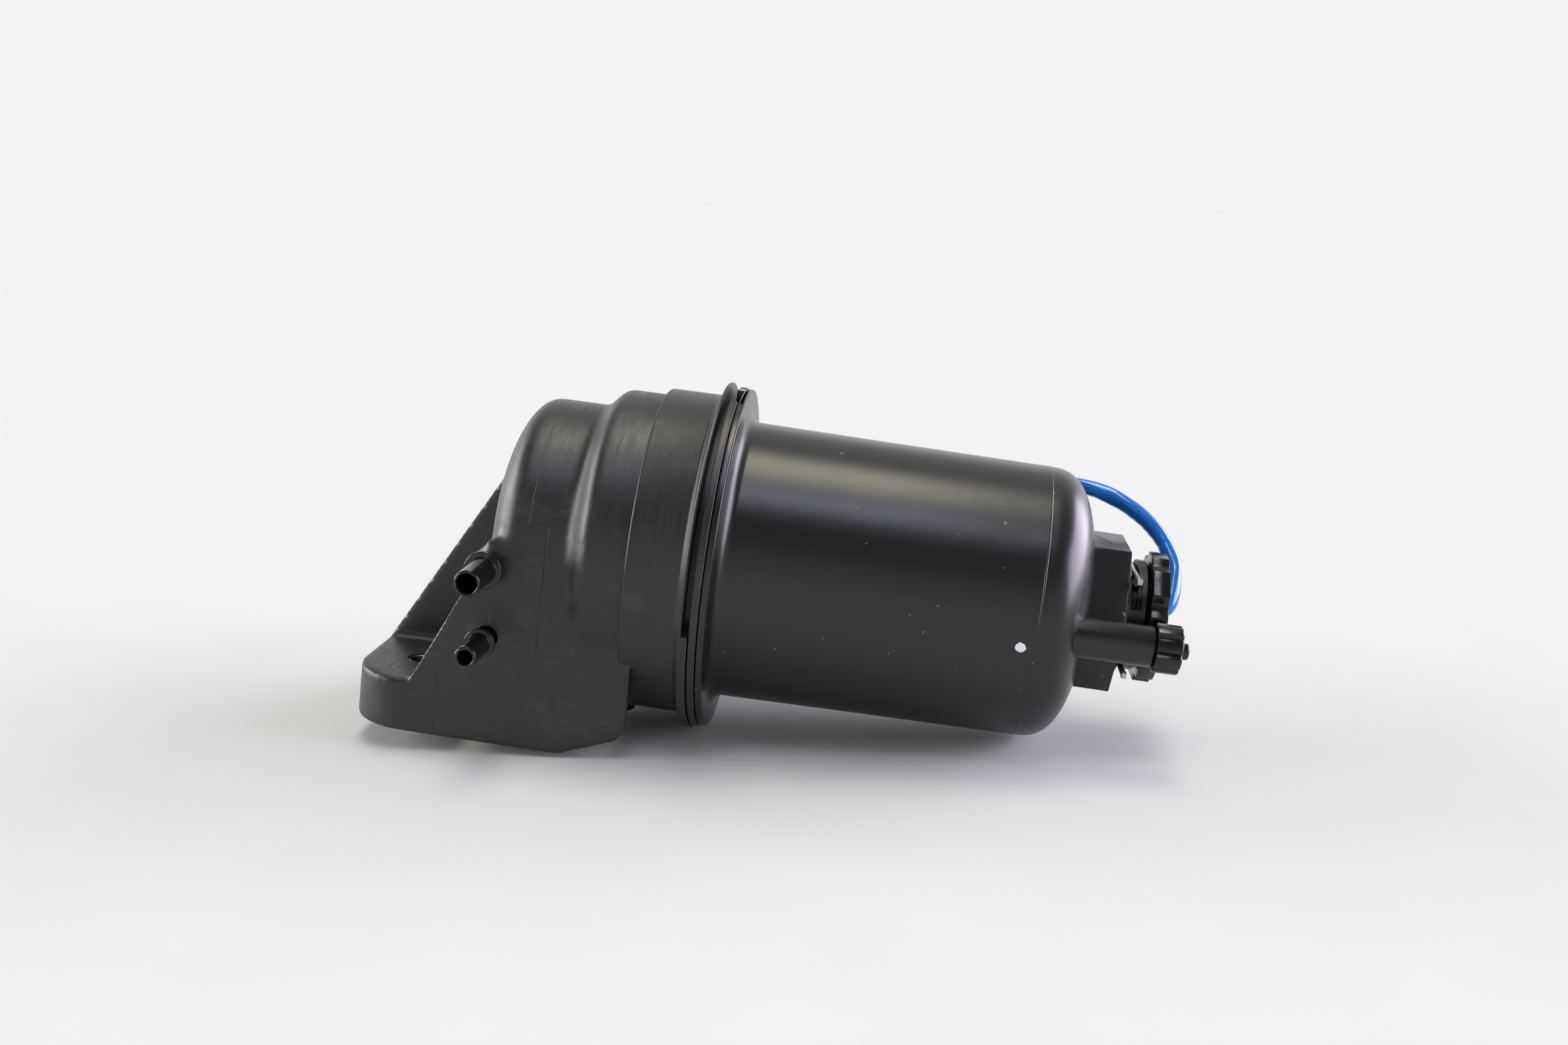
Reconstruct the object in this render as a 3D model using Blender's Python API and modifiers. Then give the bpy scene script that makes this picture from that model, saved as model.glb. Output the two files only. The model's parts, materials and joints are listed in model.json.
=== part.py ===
"""Canister filter reservoir: moulded head with bracket, screw-on bowl, drain valve and water sensor.

The canister axis is +X of the assembly frame, with X = 0 on the face where the head and the bowl
meet. The bracket's mounting face is below (-Z) and the hose spigots point to -Y. The assembly lies
on its bracket and on the end of its bowl, so its frame is tilted, and the world's floor is Z = 0.
All sizes below are in millimetres.
"""
import bpy
import bmesh
import numpy as np
from math import atan2, cos, pi, radians, sin
from mathutils import Matrix, Vector

MM = 0.001
NAME = "canister_filter_reservoir"
GAP = 0.3            # between two pieces that touch in the real object
ROUND = 40           # sides of the large round shapes
FINE = 20            # sides of the small round shapes
WELD = 0.01          # vertices closer than this are one
FLAT_DEG = 0.2       # faces that meet at less than this are one flat face

# --- driving sizes of the canister
BOWL_START_R = 52.5
BOWL_END_R = BOWL_START_R - 1.5
BOWL_END_X = 120.2
BOWL_DOME_DEPTH = 21.0
NECK_R = BOWL_START_R + 5.1
BOWL_FLANGE_R = NECK_R + 7.0

# --- head
HEAD_FLANGE_R = BOWL_FLANGE_R + 1.7
HEAD_FLANGE_T = 3.2
COLLAR_R = NECK_R + 3.5
COLLAR_END_X = -25.6
STEP_R = COLLAR_R - 2.6
STEP_END_X = -39.5
BARREL_R = STEP_R - 7.0
BARREL_X = -49.0
DOME_X = -66.0
DOME_DEPTH = 16.4
DOME_POWER = 2.25
HEAD_WALL = 3.5
RECESS_T = 2.3       # gap between head flange and lock ring
RECESS_HALF_DEG = 103.5
STUB_R = 8.0
STUB_BORE_R = STUB_R - 3.0
STUB_END_X = 21.0

# --- bracket
EAR_T = 20.0
PLATE_Y = BARREL_R + 0.3  # outer face of the side plates
PLATE_T = 3.5
BASE_Z = -BARREL_R - 18.5
EAR_TOP_Z = BASE_Z + EAR_T
EAR_X = -124.4
EAR_CORNER_R = 21.0
EAR_END_X = -84.0
HEEL_X = -45.0
HEEL_END_X = -20.0
HEEL_END_Z = BASE_Z + 8.0
HEEL_CUT = 4.0       # small slope at the heel's corner
RIB_T = 3.5
RIB_TOP_X = -79.0
RIB_TOP_Z = BARREL_R - 21.9
PLATE_TOP_X = -76.0
PLATE_TOP_Z = 2.0
PLATE_FOOT_X = -101.0
WEB_X = -34.0
BUSH_X = -104.5
BUSH_Y = 25.0
BUSH_R = 5.0
BUSH_BORE_R = BUSH_R - 0.85
HEEL_RISE = 3.8      # the heel between the side plates stays this much above the base line
HEEL_BOSS_X = -34.0
HEEL_BOSS_R = 9.0
WEB_T = 3.4
WEB_TOP_Z = BASE_Z + 42.0

# --- hose spigots: x, z, tube radius, bore, bead radius, boss radius, tip y, bead y
SPIGOTS = {
    "outlet_spigot": (-75.6, -3.8, 4.75, 3.6, 6.9, 6.4, -PLATE_Y - 25.2, -PLATE_Y - 4.7),
    "inlet_spigot": (-73.5, -29.3, 3.95, 2.65, 5.5, 5.3, -PLATE_Y - 27.2, -PLATE_Y - 9.2),
}
SPIGOT_BOSS_Y = {"outlet_spigot": 3 - PLATE_Y, "inlet_spigot": -PLATE_Y - 1.2}
SPIGOT_ROOT_Y = 19.8 - PLATE_Y
SPIGOT_BEAD_T = 2.0

# --- lock ring
LOCK_RING_T = 2.7
LOCK_RING_R = BOWL_FLANGE_R + 0.6
LOCK_RING_BORE_R = NECK_R + 1.0
LOCK_OPEN_HALF_DEG = 16.6

# --- bowl
BOWL_FLANGE_T = 2.4
BOWL_DOME_POWER = 2.65
BOWL_WALL = 3.0
NECK_LENGTH = 16.0
NECK_WALL = 4.2
NECK_GAP = 0.4       # running clearance of the neck in the head
NECK_SEAT = 3.0      # step behind the neck
SEAL_GROOVE_X = -10.6
SEAL_R = 1.5
PORT_R = 21.0
HEX_R = PORT_R + 10.0
HEX_END_X = BOWL_END_X + BOWL_DOME_DEPTH + 11.4
PORT_BORE_R = PORT_R - 2.4
PORT_END_X = HEX_END_X + 8.7
PORT_SEAT_X = HEX_END_X - 9.6
NOSE_R = 9.6
PORT_DISC_OVER = 2.0  # the port's foot ring stands this far outside it
PORT_DISC_T = 1.5
DRAIN_Y = -PORT_R - 16.5
DRAIN_Z = -1.8
STEM_R = 4.0
DRAIN_BORE_R = STEM_R + GAP
DRAIN_TUBE_R = DRAIN_BORE_R + 3.05
DRAIN_END_X = PORT_END_X + 0.7

# --- drain valve
KNOB_R = DRAIN_TUBE_R + 1.45
KNOB_LENGTH = 9.2
KNOB_LOBES = 8
STEM_GROOVE_R = STEM_R - 1.7
NOZZLE_R = STEM_R - 1.0
NOZZLE_END_X = DRAIN_END_X + 12.4
STEM_START_X = DRAIN_END_X - 24.0
DRAIN_SEAL_X = DRAIN_END_X - 16.0

# --- water sensor
CAP_R = PORT_R + 3.5
CAP_VALLEY_R = PORT_R + 1.6
CAP_LOBES = 8
CAP_X = PORT_END_X + 0.4
CAP_T = 6.9
PLUG_R = PORT_BORE_R - GAP
CLIP_X = PORT_END_X - 5.4
CLIP_WIRE = 2.3
CLIP_LEG_Z = PORT_R - 3.4
CLIP_TIP_Y = -PORT_R - 3.0
CLIP_BEND_Y = PORT_R - 2.0
SENSOR_SEAL_X = PORT_SEAT_X + 6.6
NOSE_END_X = PORT_SEAT_X - 8.5
PROBE_R = 1.2
PROBE_SPACING = 9.0
PROBE_END_X = NOSE_END_X - 11.5

# --- filter element and its spring
ELEMENT_X = 12.5
ELEMENT_END_X = BOWL_END_X - 6.7
CAP_DISC_T = 3.2
ELEMENT_R = BOWL_END_R - BOWL_WALL - 3.5
MEDIA_R = ELEMENT_R - 2.0
MEDIA_BORE_R = MEDIA_R - 18.0
PLEATS = 34
PLEAT_T = 1.1
CORE_R = MEDIA_BORE_R - 2.0
CORE_WALL = 1.8
CORE_WINDOWS = 3
HUB_R = STUB_R + 6.0
HUB_BORE_R = STUB_R + 2.3
SPRING_R = 14.5
SPRING_WIRE_R = 0.9
SPRING_TURNS = 4

# --- sensor lead: a loop from the cap (x from the cap's face), then a run over the bowl's shoulder
LEAD_R = 3.25
LEAD_LOOP = [
    (2.9, 0.0, 3.2), (5.2, 0.0, 3.2), (7.5, 0.1, 3.4), (9.5, 1.0, 5.0), (10.8, 3.4, 8.4),
    (11.3, 7.2, 12.8), (10.9, 12.2, 17.6), (8.8, 17.8, 22.9), (4.6, 22.0, 27.9),
]
LEAD_RUN = [
    (-1.4, 25.4, 32.7), (-9.9, 29.0, 37.0), (-19.6, 33.6, 39.6), (-29.7, 38.2, 39.6),
    (-39.7, 42.8, 37.2), (-49.7, 46.8, 33.8), (-59.7, 49.4, 30.6), (-71.4, 50.2, 29.2),
]
LEAD_RUN_R = 52.5    # the run above is drawn for a bowl of this radius,
LOOP_CAP_R = 24.5    # and the loop for a cap of this radius
LOOP_LEAD_R = 3.25   # and a lead of this one
LEAD_ROUTE = [(CAP_X + x * LEAD_R / LOOP_LEAD_R, y * CAP_R / LOOP_CAP_R, z * CAP_R / LOOP_CAP_R)
              for x, y, z in LEAD_LOOP]
LEAD_ROUTE += [(CAP_X + x, y * BOWL_START_R / LEAD_RUN_R, z * BOWL_START_R / LEAD_RUN_R) for x, y, z in LEAD_RUN]
LEAD_POINTS = 48
GLAND_BORE_R = LEAD_R + 0.7 * CAP_R / LOOP_CAP_R
GLAND_R = GLAND_BORE_R + 1.0
CONNECTOR_LENGTH = 27.0
CONNECTOR_W = 13.0
CONNECTOR_H = 9.5
CONNECTOR_WALL = 1.3
SOCKET_DEPTH = 10.0
LEAD_CLIP_X = LEAD_ROUTE[-1][0] + 5.7
LEAD_CLIP_LENGTH = 5.0
LEAD_CLIP_GAP = 0.6


# ---------------------------------------------------------------- collections, materials and parenting
def new_collection(name):
    collection = bpy.data.collections.new(name)
    bpy.context.scene.collection.children.link(collection)
    return collection


def material(name, colour, roughness, metallic=0.0):
    mat = bpy.data.materials.new(name)
    mat.use_nodes = True
    shader = mat.node_tree.nodes["Principled BSDF"]
    shader.inputs["Base Color"].default_value = (*colour, 1.0)
    shader.inputs["Roughness"].default_value = roughness
    shader.inputs["Metallic"].default_value = metallic
    return mat


def add_object(name, data, matrix=None, cutter=False):
    """Link an object into the assembly, or among the hidden cutters."""
    obj = bpy.data.objects.new(name, data)
    (CUTTERS if cutter else PARTS).objects.link(obj)
    obj.parent = ASSEMBLY
    obj.matrix_local = matrix or Matrix.Identity(4)
    if cutter:
        obj.hide_render = True
        obj.display_type = "WIRE"
    return obj


# ---------------------------------------------------------------- outlines
def rounded(corners, steps=5):
    """Outline through (u, v, radius) corners, each corner with its own fillet."""
    points = []
    count = len(corners)
    for i, (u, v, radius) in enumerate(corners):
        here = Vector((u, v))
        if radius == 0:
            points.append(here)
            continue
        before = (Vector(corners[i - 1][:2]) - here).normalized()
        after = (Vector(corners[(i + 1) % count][:2]) - here).normalized()
        half = before.angle(after) / 2
        centre = here + (before + after).normalized() * radius / sin(half)
        start = here + before * radius * cos(half) / sin(half) - centre
        turn = start.angle_signed(here + after * radius * cos(half) / sin(half) - centre)
        for k in range(steps + 1):
            points.append(centre + Matrix.Rotation(-turn * k / steps, 2) @ start)
    return [tuple(p) for p in points]


def blend(x0, r0, x1, r1, steps=5):
    """Soft S-shaped step of a turned profile."""
    ts = np.linspace(0, 1, steps + 1)
    return [(x0 + (x1 - x0) * t, r0 + (r1 - r0) * (1 - cos(pi * t)) / 2) for t in ts]


def dome(x0, radius, depth, power, steps=9):
    """Points of a squared dome from its rim to its pole."""
    points = []
    for t in np.linspace(0, pi / 2, steps + 1):
        r = radius * max(cos(t), 0.0) ** (2 / power)
        points.append((x0 + depth * (1 - (r / radius) ** power) ** (1 / power), r))
    return points


def arc(radius, start_deg, end_deg, steps):
    """Points (y, z) on a circle, with angles measured from +Z towards -Y."""
    angles = np.radians(np.linspace(start_deg, end_deg, steps + 1))
    return [(-radius * sin(a), radius * cos(a)) for a in angles]


def sector(r_in, r_out, start_deg, end_deg, steps):
    return arc(r_out, start_deg, end_deg, steps) + arc(r_in, end_deg, start_deg, steps)


def lobed(radius, valley, lobes, per_lobe=6):
    """Rounded lobes with narrow valleys between them."""
    points = []
    for i in range(lobes * per_lobe):
        r = valley if i % per_lobe == 0 else radius
        angle = 2 * pi * i / (lobes * per_lobe)
        points.append((r * cos(angle), r * sin(angle)))
    return points


# ---------------------------------------------------------------- solids
ALONG_X = Matrix.Rotation(pi / 2, 4, "Y")
ALONG_Y = Matrix.Rotation(-pi / 2, 4, "X")
PLANE_YZ = Matrix(((0, 0, 1, 0), (1, 0, 0, 0), (0, 1, 0, 0), (0, 0, 0, 1)))
PLANE_XZ = Matrix.Rotation(pi / 2, 4, "X")


def place(x, y, z):
    return Matrix.Translation(Vector((x, y, z)) * MM)


def turned(name, profile, matrix=ALONG_X, steps=ROUND, cutter=False):
    """Solid of revolution about local Z from (along, radius) points; no face lies along the axis."""
    points = np.round([(r, a) for a, r in profile], 4) * MM
    following = np.roll(points, -1, axis=0)
    if np.sum(points[:, 0] * following[:, 1] - following[:, 0] * points[:, 1]) > 0:
        points = points[::-1]
    count = len(points)
    edges = [(i, (i + 1) % count) for i in range(count) if points[i][0] or points[(i + 1) % count][0]]
    mesh = bpy.data.meshes.new(name)
    mesh.from_pydata([(r, 0, a) for r, a in points], edges, [])
    obj = add_object(name, mesh, matrix, cutter)
    screw = obj.modifiers.new("turn", "SCREW")
    screw.axis = "Z"
    screw.steps = screw.render_steps = steps
    screw.use_merge_vertices = True
    screw.merge_threshold = WELD * MM
    screw.use_smooth_shade = True
    return obj


def extruded(name, loops, depth, matrix, cutter=False):
    """Flat outline with optional holes, thickened by depth to both sides of its plane's matrix."""
    curve = bpy.data.curves.new(name, "CURVE")
    curve.dimensions = "2D"
    curve.fill_mode = "BOTH"
    curve.extrude = depth / 2 * MM
    for loop in loops:
        spline = curve.splines.new("POLY")
        spline.points.add(len(loop) - 1)
        spline.use_cyclic_u = True
        for point, (u, v) in zip(spline.points, loop):
            point.co = (u * MM, v * MM, 0, 1)
    return curve_to_mesh(name, curve, matrix, cutter)


def curve_to_mesh(name, curve, matrix, cutter=False):
    """Turn a curve into one closed mesh object with its caps welded on."""
    source = add_object(name + "_curve", curve, matrix)
    depsgraph = bpy.context.evaluated_depsgraph_get()
    mesh = bpy.data.meshes.new_from_object(source.evaluated_get(depsgraph))
    bpy.data.objects.remove(source)
    bm = bmesh.new()
    bm.from_mesh(mesh)
    bmesh.ops.remove_doubles(bm, verts=bm.verts, dist=WELD * MM)
    bmesh.ops.recalc_face_normals(bm, faces=bm.faces)
    bm.to_mesh(mesh)
    bm.free()
    return add_object(name, mesh, matrix, cutter)


def slab_x(name, loops, x0, x1, cutter=False):
    """Outline in (y, z), filling x0 to x1."""
    return extruded(name, loops, x1 - x0, place((x0 + x1) / 2, 0, 0) @ PLANE_YZ, cutter)


def slab_y(name, loops, y0, y1, cutter=False):
    """Outline in (x, z), filling y0 to y1."""
    return extruded(name, loops, y1 - y0, place(0, (y0 + y1) / 2, 0) @ PLANE_XZ, cutter)


def slab_z(name, loops, z0, z1, cutter=False):
    """Outline in (x, y), filling z0 to z1."""
    return extruded(name, loops, z1 - z0, place(0, 0, (z0 + z1) / 2), cutter)


def box(name, low, high, cutter=False, bevel=0.0, matrix=Matrix.Identity(4)):
    """Box between two opposite corners, given in the matrix's own axes."""
    low, high = Vector(low), Vector(high)
    bm = bmesh.new()
    bmesh.ops.create_cube(bm, size=1.0)
    bmesh.ops.scale(bm, vec=(high - low) * MM, verts=bm.verts)
    mesh = bpy.data.meshes.new(name)
    bm.to_mesh(mesh)
    bm.free()
    obj = add_object(name, mesh, matrix @ place(*((low + high) / 2)), cutter)
    if bevel:
        edge = obj.modifiers.new("edges", "BEVEL")
        edge.width = bevel * MM
        edge.segments = 2
    return obj


def rod(name, start, end, radius, matrix=ALONG_X, steps=FINE, cutter=False):
    """Plain cylinder along the matrix's local Z, from start to end."""
    return turned(name, [(start, 0), (start, radius), (end, radius), (end, 0)], matrix, steps, cutter)


def o_ring(name, x, major, minor, centre=(0, 0), major_sides=40):
    """Rubber ring around a line parallel to the canister axis."""
    bpy.ops.mesh.primitive_torus_add(major_radius=major * MM, minor_radius=minor * MM,
                                     major_segments=major_sides, minor_segments=6)
    torus = bpy.context.object
    mesh = torus.data
    bpy.data.objects.remove(torus)
    mesh.shade_smooth()
    return add_object(name, mesh, place(x, *centre) @ ALONG_X)


def smooth_path(route, count):
    """Catmull-Rom curve through the route's points, read at equal steps of its length."""
    points = np.array(route)
    padded = np.vstack([2 * points[0] - points[1], points, 2 * points[-1] - points[-2]])
    dense = []
    for p0, p1, p2, p3 in zip(padded, padded[1:], padded[2:], padded[3:]):
        for t in np.linspace(0, 1, 24, endpoint=False):
            dense.append(0.5 * (2 * p1 + (p2 - p0) * t + (2 * p0 - 5 * p1 + 4 * p2 - p3) * t ** 2
                                + (3 * p1 - p0 - 3 * p2 + p3) * t ** 3))
    dense = np.array(dense + [points[-1]])
    length = np.concatenate([[0], np.cumsum(np.linalg.norm(np.diff(dense, axis=0), axis=1))])
    wanted = np.linspace(0, length[-1], count)
    return np.stack([np.interp(wanted, length, dense[:, k]) for k in range(3)], axis=1)


def wire_curve(name, points, radius, resolution=2):
    """Round wire through the points, with closed ends."""
    curve = bpy.data.curves.new(name, "CURVE")
    curve.dimensions = "3D"
    curve.bevel_depth = radius * MM
    curve.bevel_resolution = resolution
    curve.use_fill_caps = True
    spline = curve.splines.new("POLY")
    spline.points.add(len(points) - 1)
    for point, co in zip(spline.points, points):
        point.co = (*(Vector(co) * MM), 1)
    return curve


def boolean(target, cutter, operation="DIFFERENCE"):
    """Cut or join at once, weld the result, merge its flat faces and remove the cutter."""
    modifier = target.modifiers.new(cutter.name, "BOOLEAN")
    modifier.object = cutter
    modifier.operation = operation
    modifier.solver = "EXACT"
    depsgraph = bpy.context.evaluated_depsgraph_get()
    mesh = bpy.data.meshes.new_from_object(target.evaluated_get(depsgraph))
    target.modifiers.clear()
    bpy.data.objects.remove(cutter)
    bm = bmesh.new()
    bm.from_mesh(mesh)
    bmesh.ops.remove_doubles(bm, verts=bm.verts, dist=WELD * MM)
    bmesh.ops.dissolve_limit(bm, angle_limit=radians(FLAT_DEG), verts=bm.verts, edges=bm.edges)
    bm.to_mesh(mesh)
    bm.free()
    target.data = mesh


def finish(obj, mat):
    """Give a piece its material, and smooth shading with its sharp edges kept."""
    obj.data.materials.clear()
    obj.data.materials.append(mat)
    if obj.type == "MESH" and len(obj.data.polygons):
        obj.data.shade_smooth()
        obj.data.set_sharp_from_angle(angle=radians(35))
    return obj


# ---------------------------------------------------------------- head and bracket
def head_outer_profile():
    flange = [(0, 0), (0, HEAD_FLANGE_R), (-HEAD_FLANGE_T, HEAD_FLANGE_R)]
    flange += blend(-HEAD_FLANGE_T - 0.6, COLLAR_R + 1.2, -HEAD_FLANGE_T - 2.6, COLLAR_R, 3)
    collar = [(COLLAR_END_X + 1.6, COLLAR_R - 0.1), (COLLAR_END_X, COLLAR_R - 1.2), (COLLAR_END_X - 0.6, STEP_R + 0.2)]
    shoulder = blend(STEP_END_X, STEP_R, BARREL_X, BARREL_R, 5)
    end = [(2 * DOME_X - x, r) for x, r in dome(DOME_X, BARREL_R, DOME_DEPTH, DOME_POWER, 8)]
    return flange + collar + shoulder + end


def head_cavity_profile():
    neck_r = NECK_R + NECK_GAP
    seat_r = neck_r - NECK_SEAT
    points = [(1, 0), (1, neck_r), (-NECK_LENGTH - 1.5, neck_r), (-NECK_LENGTH - 3.5, seat_r)]
    points += blend(STEP_END_X + HEAD_WALL, seat_r, BARREL_X + HEAD_WALL, BARREL_R - HEAD_WALL, 4)
    inner = dome(DOME_X, BARREL_R - HEAD_WALL, DOME_DEPTH - HEAD_WALL, DOME_POWER, 6)
    return points + [(2 * DOME_X - x, r) for x, r in inner]


def side_plate(name, y0, y1):
    """Side plate of the bracket: flat on the base line, sloped heel, diagonal towards the ear."""
    outline = rounded([
        (EAR_X + EAR_CORNER_R, BASE_Z, 0), (HEEL_X, BASE_Z, 6), (HEEL_END_X - HEEL_CUT, HEEL_END_Z, 2.5),
        (HEEL_END_X, HEEL_END_Z + HEEL_CUT, 2), (HEEL_END_X, PLATE_TOP_Z - 6, 0), (HEEL_X, PLATE_TOP_Z, 0),
        (DOME_X, PLATE_TOP_Z, 0), (PLATE_TOP_X, PLATE_TOP_Z, 0), (PLATE_FOOT_X, EAR_TOP_Z, 5),
        (EAR_X + EAR_CORNER_R, EAR_TOP_Z, 0)])
    return slab_y(name, [outline], y0, y1, cutter=True)


def ear_block():
    """Thick mounting ear across the whole width, with rounded corners seen from above."""
    corner = EAR_CORNER_R
    outline = rounded([(EAR_X, -PLATE_Y, corner), (EAR_END_X, -PLATE_Y, 0),
                       (EAR_END_X, PLATE_Y, 0), (EAR_X, PLATE_Y, corner)], 8)
    return slab_z("ear_block", [outline], BASE_Z, EAR_TOP_Z, cutter=True)


def middle_rib():
    root = HEAD_WALL / 2
    outline = [(EAR_X, BASE_Z), (HEEL_X, BASE_Z), (WEB_X, BASE_Z + HEEL_RISE), (WEB_X, root - STEP_R),
               (STEP_END_X, root - BARREL_R), (DOME_X, RIB_TOP_Z), (RIB_TOP_X, RIB_TOP_Z), (EAR_X, EAR_TOP_Z)]
    return slab_y("middle_rib", [outline], -RIB_T / 2, RIB_T / 2, cutter=True)


def make_head(mat):
    head = turned("head_housing", head_outer_profile())
    inner_y = PLATE_Y - PLATE_T
    heel_z = BASE_Z + HEEL_RISE
    additions = [
        side_plate("near_plate", -PLATE_Y, -inner_y), side_plate("far_plate", inner_y, PLATE_Y),
        ear_block(), middle_rib(),
        box("heel_web", (WEB_X - WEB_T / 2, -inner_y - 1, heel_z), (WEB_X + WEB_T / 2, inner_y + 1, WEB_TOP_Z),
            cutter=True),
        rod("heel_boss", heel_z - 0.1, HEAD_WALL / 2 - STEP_R, HEEL_BOSS_R, place(HEEL_BOSS_X, 0, 0), cutter=True),
    ]
    for name, (x, z, _, _, _, boss_r, _, _) in SPIGOTS.items():
        additions.append(rod(name + "_boss", SPIGOT_BOSS_Y[name], SPIGOT_ROOT_Y + 12, boss_r,
                             place(x, 0, z) @ ALONG_Y, cutter=True))
    for part in additions:
        boolean(head, part, "UNION")
    boolean(head, turned("head_cavity", head_cavity_profile(), cutter=True))
    add_outlet_passage(head)
    cut_head_holes(head)
    return finish(head, mat)


def add_outlet_passage(head):
    """Standpipe on the axis, fed through a cross pipe from the outlet spigot."""
    x, z, _, _, _, boss_r, _, _ = SPIGOTS["outlet_spigot"]
    boolean(head, rod("cross_pipe", -40, 7, boss_r - 0.4, place(x, 0, z) @ ALONG_Y, cutter=True), "UNION")
    pipe = [(x - 1, 0), (x - 1, STUB_R), (STUB_END_X - 1, STUB_R), (STUB_END_X, STUB_R - 1), (STUB_END_X, 0)]
    boolean(head, turned("standpipe", pipe, steps=FINE, cutter=True), "UNION")
    boolean(head, rod("standpipe_bore", x, STUB_END_X + 1, STUB_BORE_R, cutter=True))


def cut_head_holes(head):
    for name, (x, z, tube_r, bore_r, _, _, _, _) in SPIGOTS.items():
        end_y = 0 if name == "outlet_spigot" else -6
        profile = [(-PLATE_Y - 8, 0), (-PLATE_Y - 8, tube_r + GAP), (SPIGOT_ROOT_Y, tube_r + GAP),
                   (SPIGOT_ROOT_Y, bore_r), (end_y, bore_r), (end_y, 0)]
        boolean(head, turned(name + "_bore", profile, place(x, 0, z) @ ALONG_Y, FINE, cutter=True))
    for side in (-1, 1):
        hole = rod("bush_hole_%s" % ("near" if side < 0 else "far"), BASE_Z - 1, EAR_TOP_Z + 1,
                   BUSH_R + GAP, place(BUSH_X, side * BUSH_Y, 0), cutter=True)
        boolean(head, hole)
    recess = sector(NECK_R + NECK_GAP + 0.2, HEAD_FLANGE_R + 1, -RECESS_HALF_DEG, RECESS_HALF_DEG, 26)
    boolean(head, slab_x("flange_recess", [recess], -RECESS_T, 1, cutter=True))


def make_bushes(mat):
    ring = [(BASE_Z, BUSH_BORE_R), (BASE_Z, BUSH_R), (EAR_TOP_Z - 0.2, BUSH_R), (EAR_TOP_Z - 0.2, BUSH_BORE_R)]
    for side, label in ((-1, "near"), (1, "far")):
        finish(turned("mounting_bush_" + label, ring, place(BUSH_X, side * BUSH_Y, 0), FINE), mat)


def make_spigots(mat):
    """Quick-connect spigots: a tube pressed into its boss, with one retaining bead."""
    for name, (x, z, tube_r, bore_r, bead_r, _, tip_y, bead_y) in SPIGOTS.items():
        half = SPIGOT_BEAD_T / 2
        profile = [
            (tip_y, bore_r), (tip_y, tube_r - 0.8), (tip_y + 0.3, tube_r - 0.3), (tip_y + 1.0, tube_r),
            (bead_y - half - 0.6, tube_r), (bead_y - half, tube_r + 0.7), (bead_y - half, bead_r - 0.4),
            (bead_y - half + 0.4, bead_r), (bead_y + half - 0.4, bead_r), (bead_y + half, bead_r - 0.4),
            (bead_y + half, tube_r), (SPIGOT_ROOT_Y - GAP, tube_r), (SPIGOT_ROOT_Y - GAP, bore_r)]
        finish(turned(name, profile, place(x, 0, z) @ ALONG_Y, FINE), mat)


def make_lock_ring(mat):
    outline = sector(LOCK_RING_BORE_R, LOCK_RING_R, LOCK_OPEN_HALF_DEG, 360 - LOCK_OPEN_HALF_DEG, 44)
    return finish(slab_x("lock_ring", [outline], GAP, GAP + LOCK_RING_T), mat)


# ---------------------------------------------------------------- bowl
def bowl_flange_x():
    return 2 * GAP + LOCK_RING_T


def bowl_outer_points():
    """Outer side of the bowl from its neck to the end of its dome."""
    face = bowl_flange_x()
    back = face + BOWL_FLANGE_T
    groove = SEAL_R + 0.4
    neck = [(-NECK_LENGTH, NECK_R - 1), (-NECK_LENGTH + 1, NECK_R),
            (SEAL_GROOVE_X - groove, NECK_R), (SEAL_GROOVE_X - groove, NECK_R - 2 * SEAL_R + 0.2),
            (SEAL_GROOVE_X + groove, NECK_R - 2 * SEAL_R + 0.2), (SEAL_GROOVE_X + groove, NECK_R)]
    flange = [(face, NECK_R), (face, BOWL_FLANGE_R - 0.3), (face + 0.3, BOWL_FLANGE_R),
              (back - 0.5, BOWL_FLANGE_R), (back, BOWL_FLANGE_R - 0.5)]
    fillet = blend(back + 0.3, BOWL_START_R + 4.5, back + 4.5, BOWL_START_R, 4)
    return neck + flange + fillet + dome(BOWL_END_X, BOWL_END_R, BOWL_DOME_DEPTH, BOWL_DOME_POWER, 9)


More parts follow.
